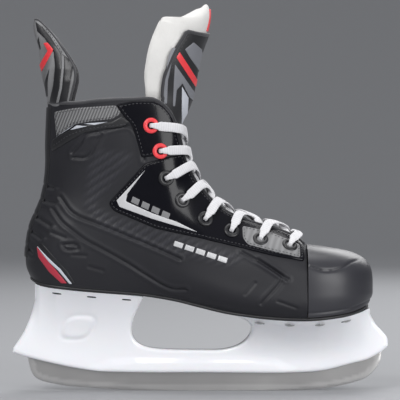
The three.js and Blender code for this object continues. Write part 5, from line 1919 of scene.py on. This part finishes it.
class SKATE_OT_guard(Operator):
    """Make the tendon guard."""
    bl_idname = "skate.guard"
    bl_label = "Tendon guard"

    def execute(self, context):
        build = guard_sheet(GUARD_FOOT, GUARD_TOP, 0.0, -2.4)
        piece = build.finish("guard_shell", finish(guard_cloth))
        bend_guard(piece, "guard_shell", "tendon_guard")
        build = guard_sheet(GUARD_FOOT, PAD_TOP, -2.6, -5.9)
        piece = build.finish("guard_pad", finish(liner))
        q, z = (part.ravel() for part in sheet_grid((-1, GUARD_FOOT), (1, PAD_TOP), *GUARD_GRID))
        loose = smooth((abs(q) - 0.03) / 0.1) * smooth((0.93 - abs(q)) / 0.05)
        loose = loose * smooth((z - 240) / 6) * smooth((285 - z) / 4)
        swell(piece, np.concatenate([np.ones(len(q)), 1 - loose]), *PAD_SWELL)
        bend_guard(piece, "liner", "tendon_guard_pad")
        for colour, material in (("red", red), ("dark", black_trim)):
            shapes = GUARD_ARTWORK[colour]
            lift = 0.25 if colour == "red" else -0.05
            piece = both_sides("guard_art_" + colour, material, "guard_shell", shapes, lift, 0.45,
                               surface=guard, body=None, edge=0.4, spacing=1.4, corner=0.7,
                               a_range=(0.0, 0.97))
            bend_guard(piece, "guard_shell")
        z = np.concatenate([np.linspace(232, 300, 90), np.full(7, GUARD_TOP),
                            np.linspace(300, 232, 90)])
        q = np.concatenate([np.full(90, -0.985), np.linspace(-0.985, 0.985, 9)[1:-1],
                            np.full(90, 0.985)])
        bend_guard(piping("guard_piping", guard, q, z, -1.2, 1.0, 1.5), "guard_shell")
        return {"FINISHED"}


# ---- Lace ----
def lace_half(places, start, lift):
    """The route of half the lace, from the bar across the lowest pair up to the top pair."""
    stations, side = [], start
    outside = OVERLAY_TOP + GAP + 0.9 + LACE_THICKNESS / 2 + 0.5
    rim_top = OVERLAY_TOP + GAP + 0.9
    under = -(QUARTER_WALL + LACE_THICKNESS / 2 + 1.2)
    edge_lift = OVERLAY_TOP + LACE_THICKNESS / 2 + 2.1
    cross_lift = 1 + GAP + LACE_THICKNESS / 2
    one = np.ones(1)
    for n in range(len(EYELET_SPOTS) - 1, -1, -1):
        at, normal, edge = (part[n] for part in places[side])
        throat = boot_point(edge, one)[0]
        down = at - throat
        down = unit(down - normal * (down @ normal))
        across = unit(np.cross(down, normal))

        def near(height, slide, width):
            stations.append((at + normal * height + down * slide, across, width))

        over = throat + boot.normal(np.array([edge]), one)[0] * edge_lift
        stations.append((over, across, LACE_WIDTH))
        near(outside, -7.7, LACE_WIDTH)
        near(outside, -4.4, LACE_WIDTH * 0.7)
        near(rim_top + 0.6, -0.5, LACE_PINCH)
        near(OVERLAY_TOP, 0.3, LACE_PINCH)
        near(-QUARTER_WALL - 0.8, 0, LACE_PINCH)
        if n == 0:
            near(under - 1, 4, LACE_PINCH)
            near(under - 2.4, 9, LACE_PINCH)
            break
        other = places[1 - side][2][n - 1]
        middle = (abs(edge) + abs(other)) / 2
        turn = np.array([mix(abs(edge), middle, 0.4) * SIDES[side][1]])
        below = boot_point(turn, one)[0] + boot.normal(turn, one)[0] * under
        stations.append((below, across, LACE_WIDTH * 0.8))
        pair = boot_point(np.array([middle, -middle, middle - 0.01, middle + 0.01]), np.ones(4))
        centre, run = (pair[0] + pair[1]) / 2, unit(pair[2] - pair[3])
        out = np.array([run[2], 0, -run[0]])
        stations.append((centre + out * (cross_lift + lift), run, LACE_WIDTH))
        side = 1 - side
    return stations


class SKATE_OT_lace(Operator):
    """Thread the lace."""
    bl_idname = "skate.lace"
    bl_label = "Lace"

    def execute(self, context):
        places = eyelet_frames()
        lowest = abs(places[0][2][-1])
        ends = boot_point(np.array([lowest, -lowest]), np.ones(2))
        middle = ends.mean(0) + np.array([0, 0, 1 + GAP + LACE_THICKNESS / 2 + LACE_HIGH])
        bar = (middle, np.array([1.0, 0, 0]), LACE_WIDTH)
        stations = lace_half(places, 0, 0)[::-1] + [bar] + lace_half(places, 1, LACE_HIGH)
        knots = np.array([p for p, _, _ in stations])
        across = [stations[0][1]]
        for _, direction, _ in stations[1:]:
            across.append(direction if direction @ across[-1] >= 0 else -direction)
        across, width = np.array(across), np.array([w for _, _, w in stations])
        substeps = 12
        path = Curve(knots, substeps).points
        place = np.arange(len(path)) / substeps
        index = np.minimum(place.astype(int), len(knots) - 2)
        part = smooth(place - index)[:, None]
        side = across[index] * (1 - part) + across[index + 1] * part
        widths = mix(width[index], width[index + 1], part[:, 0])
        run = unit(np.gradient(path, axis=0))
        side = unit(side - run * np.sum(side * run, 1, keepdims=True))
        up = np.cross(run, side)
        full = mix(1.25, 1.0, (widths - LACE_PINCH) / (LACE_WIDTH - LACE_PINCH))
        build = tube(Build(), path, side, up, widths / 2, LACE_THICKNESS / 2 * full, section=14,
                     power=0.62)
        piece = build.finish("lace_woven", finish(lace_weave))
        settle(piece, "boot", "lace", "lace")
        return {"FINISHED"}


# ---- Stitching ----
def outline_inset(outline, inset, corner):
    """A side-view outline moved in by an inset, for a row of stitches."""
    loop = closed_outline(outline, 1.5, corner)
    return loop + inward(loop) * inset


class SKATE_OT_stitches(Operator):
    """Sew the seams."""
    bl_idname = "skate.stitches"
    bl_label = "Stitches"

    def execute(self, context):
        lines = []
        for _, side in SIDES:
            lines.append(on_surface(boot, outline_inset(eyestay_outline(), 2.2, 3), side,
                                    OVERLAY_TOP + 0.1))
            lines.append(on_surface(boot, outline_inset(COLLAR_OUTLINE, 2.2, 3), side,
                                    OVERLAY_TOP + 0.1))
            lines.append(on_surface(boot, outline_inset(MESH_OUTLINE, 1.6, 2), side, 1.15))
            lines.append(on_surface(boot, outline_inset(CORD_PANEL, 1.2, 2), side,
                                    OVERLAY_TOP + 0.42))
            lines.append(on_surface(boot, smooth_line(
                [[-116, 199], [-104, 206.6], [-90, 211.6], [-74, 213.8], [-60, 215.4]]), side, 1.05))
        settle(sew("stitches_boot", lines), "boot", "cuff_mesh")
        rows = [guard.offset(np.full(60, q), np.linspace(236, 292, 60), np.full(60, 0.1))
                for q in (-0.9, 0.9)]
        bend_guard(sew("stitches_guard", rows), "guard_shell")
        rows = []
        for q_sign in (-1, 1):
            s = np.linspace(CUFF_AT + 0.02, COVER_TOP - 0.02, 60)
            rows.append(tongue.offset(q_sign * (cover_reach(s) - 0.05), s, np.full(60, 0.0)))
        cross_tongue(sew("stitches_tongue", rows), "tongue_cover")
        return {"FINISHED"}


# ---- Stage ----
def area_light(name, place, aim, power, width, height=None):
    light = bpy.data.lights.new(name, "AREA")
    light.shape, light.size, light.energy = "RECTANGLE", width, power
    light.size_y = height or width
    lamp = new_object(name, light)
    lamp.location = place
    lamp.visible_camera = False
    lamp.rotation_euler = (Vector(aim) - Vector(place)).to_track_quat("-Z", "Y").to_euler()


CAMERA_LENS, CAMERA_BACK, CAMERA_HEIGHT, CAMERA_TILT = 244.0, 2.2, 0.1928, 89


class SKATE_OT_stage(Operator):
    """Set the floor, lights and camera."""
    bl_idname = "skate.stage"
    bl_label = "Floor, lights and camera"

    def execute(self, context):
        mesh = bpy.data.meshes.new("floor")
        reach = np.concatenate([[0.001, 1.0, 2.0], np.linspace(3, 7, 24)])
        rise = np.maximum(reach - 3, 0) ** 2 * 0.2
        angle = np.linspace(0, 2 * math.pi, 97)
        points = [(r * math.cos(t), r * math.sin(t), z - 0.0002)
                  for r, z in zip(reach, rise) for t in angle]
        mesh.from_pydata(points, [], grid_faces(len(reach), len(angle)))
        mesh.polygons.foreach_set("use_smooth", [True] * len(mesh.polygons))
        floor = new_object("floor", mesh)
        mesh.materials.append(Finish("Floor", (0.36, 0.365, 0.38), 0.85).done())
        world = bpy.context.scene.world or bpy.data.worlds.new("Studio")
        bpy.context.scene.world = world
        world.use_nodes = True
        sky = world.node_tree.nodes["Background"]
        sky.inputs["Color"].default_value = (0.72, 0.73, 0.75, 1)
        sky.inputs["Strength"].default_value = 0.55
        area_light("key", (-0.9, -1.7, 1.5), (0, 0, 0.15), 26, 1.1)
        area_light("fill", (1.3, -1.6, 0.35), (0, 0, 0.06), 28, 1.2)
        area_light("top", (0.1, 0.2, 1.9), (0, 0, 0.1), 16, 1.2)
        area_light("back", (0.7, 1.6, 1.1), (0, 0, 0.15), 12, 1.0)
        area_light("card_left", (-0.078, -1.9, 0.62), (0, 0, 0.03), 0.5, 0.075, 0.3)
        area_light("card_right", (0.058, -1.9, 0.62), (0, 0, 0.03), 0.5, 0.07, 0.3)
        lens = bpy.data.cameras.new("camera")
        lens.lens, lens.sensor_width = CAMERA_LENS, 36.0
        lens.clip_start, lens.clip_end = 0.05, 60
        camera = new_object("camera", lens)
        camera.location = (0, -CAMERA_BACK, CAMERA_HEIGHT)
        camera.rotation_euler = (math.radians(CAMERA_TILT), 0, 0)
        bpy.context.scene.camera = camera
        bpy.context.scene.view_settings.view_transform = "Standard"
        return {"FINISHED"}


# ---- Panel ----
PIECES = [
    SKATE_OT_stage, SKATE_OT_quarters, SKATE_OT_overlays, SKATE_OT_trims, SKATE_OT_backstay,
    SKATE_OT_toe_cap, SKATE_OT_liner, SKATE_OT_binding, SKATE_OT_soles, SKATE_OT_holder,
    SKATE_OT_rivets, SKATE_OT_rivet_edges, SKATE_OT_eyelets, SKATE_OT_tongue, SKATE_OT_guard,
    SKATE_OT_lace, SKATE_OT_stitches]


class SKATE_PT_pieces(Panel):
    """The skate's pieces and settings, in the 3D view's sidebar."""
    bl_label = "Ice hockey skate"
    bl_idname = "SKATE_PT_pieces"
    bl_space_type = "VIEW_3D"
    bl_region_type = "UI"
    bl_category = "Skate"

    def draw(self, context):
        layout = self.layout
        for settings in (context.scene.skate_colours, context.scene.skate_sizes):
            for name in settings.__annotations__:
                layout.prop(settings, name)
        for piece in PIECES:
            layout.operator(piece.bl_idname)


CLASSES = [SkateColours, SkateSizes, *PIECES, SKATE_PT_pieces]


def register():
    for cls in CLASSES:
        bpy.utils.register_class(cls)
    bpy.types.Scene.skate_colours = PointerProperty(type=SkateColours)
    bpy.types.Scene.skate_sizes = PointerProperty(type=SkateSizes)


def unregister():
    del bpy.types.Scene.skate_colours, bpy.types.Scene.skate_sizes
    for cls in reversed(CLASSES):
        bpy.utils.unregister_class(cls)


def main():
    register()
    bpy.ops.skate.stage()
    bpy.ops.skate.quarters()
    bpy.ops.skate.overlays()
    bpy.ops.skate.trims()
    bpy.ops.skate.backstay()
    bpy.ops.skate.toe_cap()
    bpy.ops.skate.liner()
    bpy.ops.skate.binding()
    bpy.ops.skate.soles()
    bpy.ops.skate.holder()
    bpy.ops.skate.rivets()
    bpy.ops.skate.rivet_edges()
    bpy.ops.skate.eyelets()
    bpy.ops.skate.tongue()
    bpy.ops.skate.guard()
    bpy.ops.skate.lace()
    bpy.ops.skate.stitches()


if __name__ == "__main__":
    main()
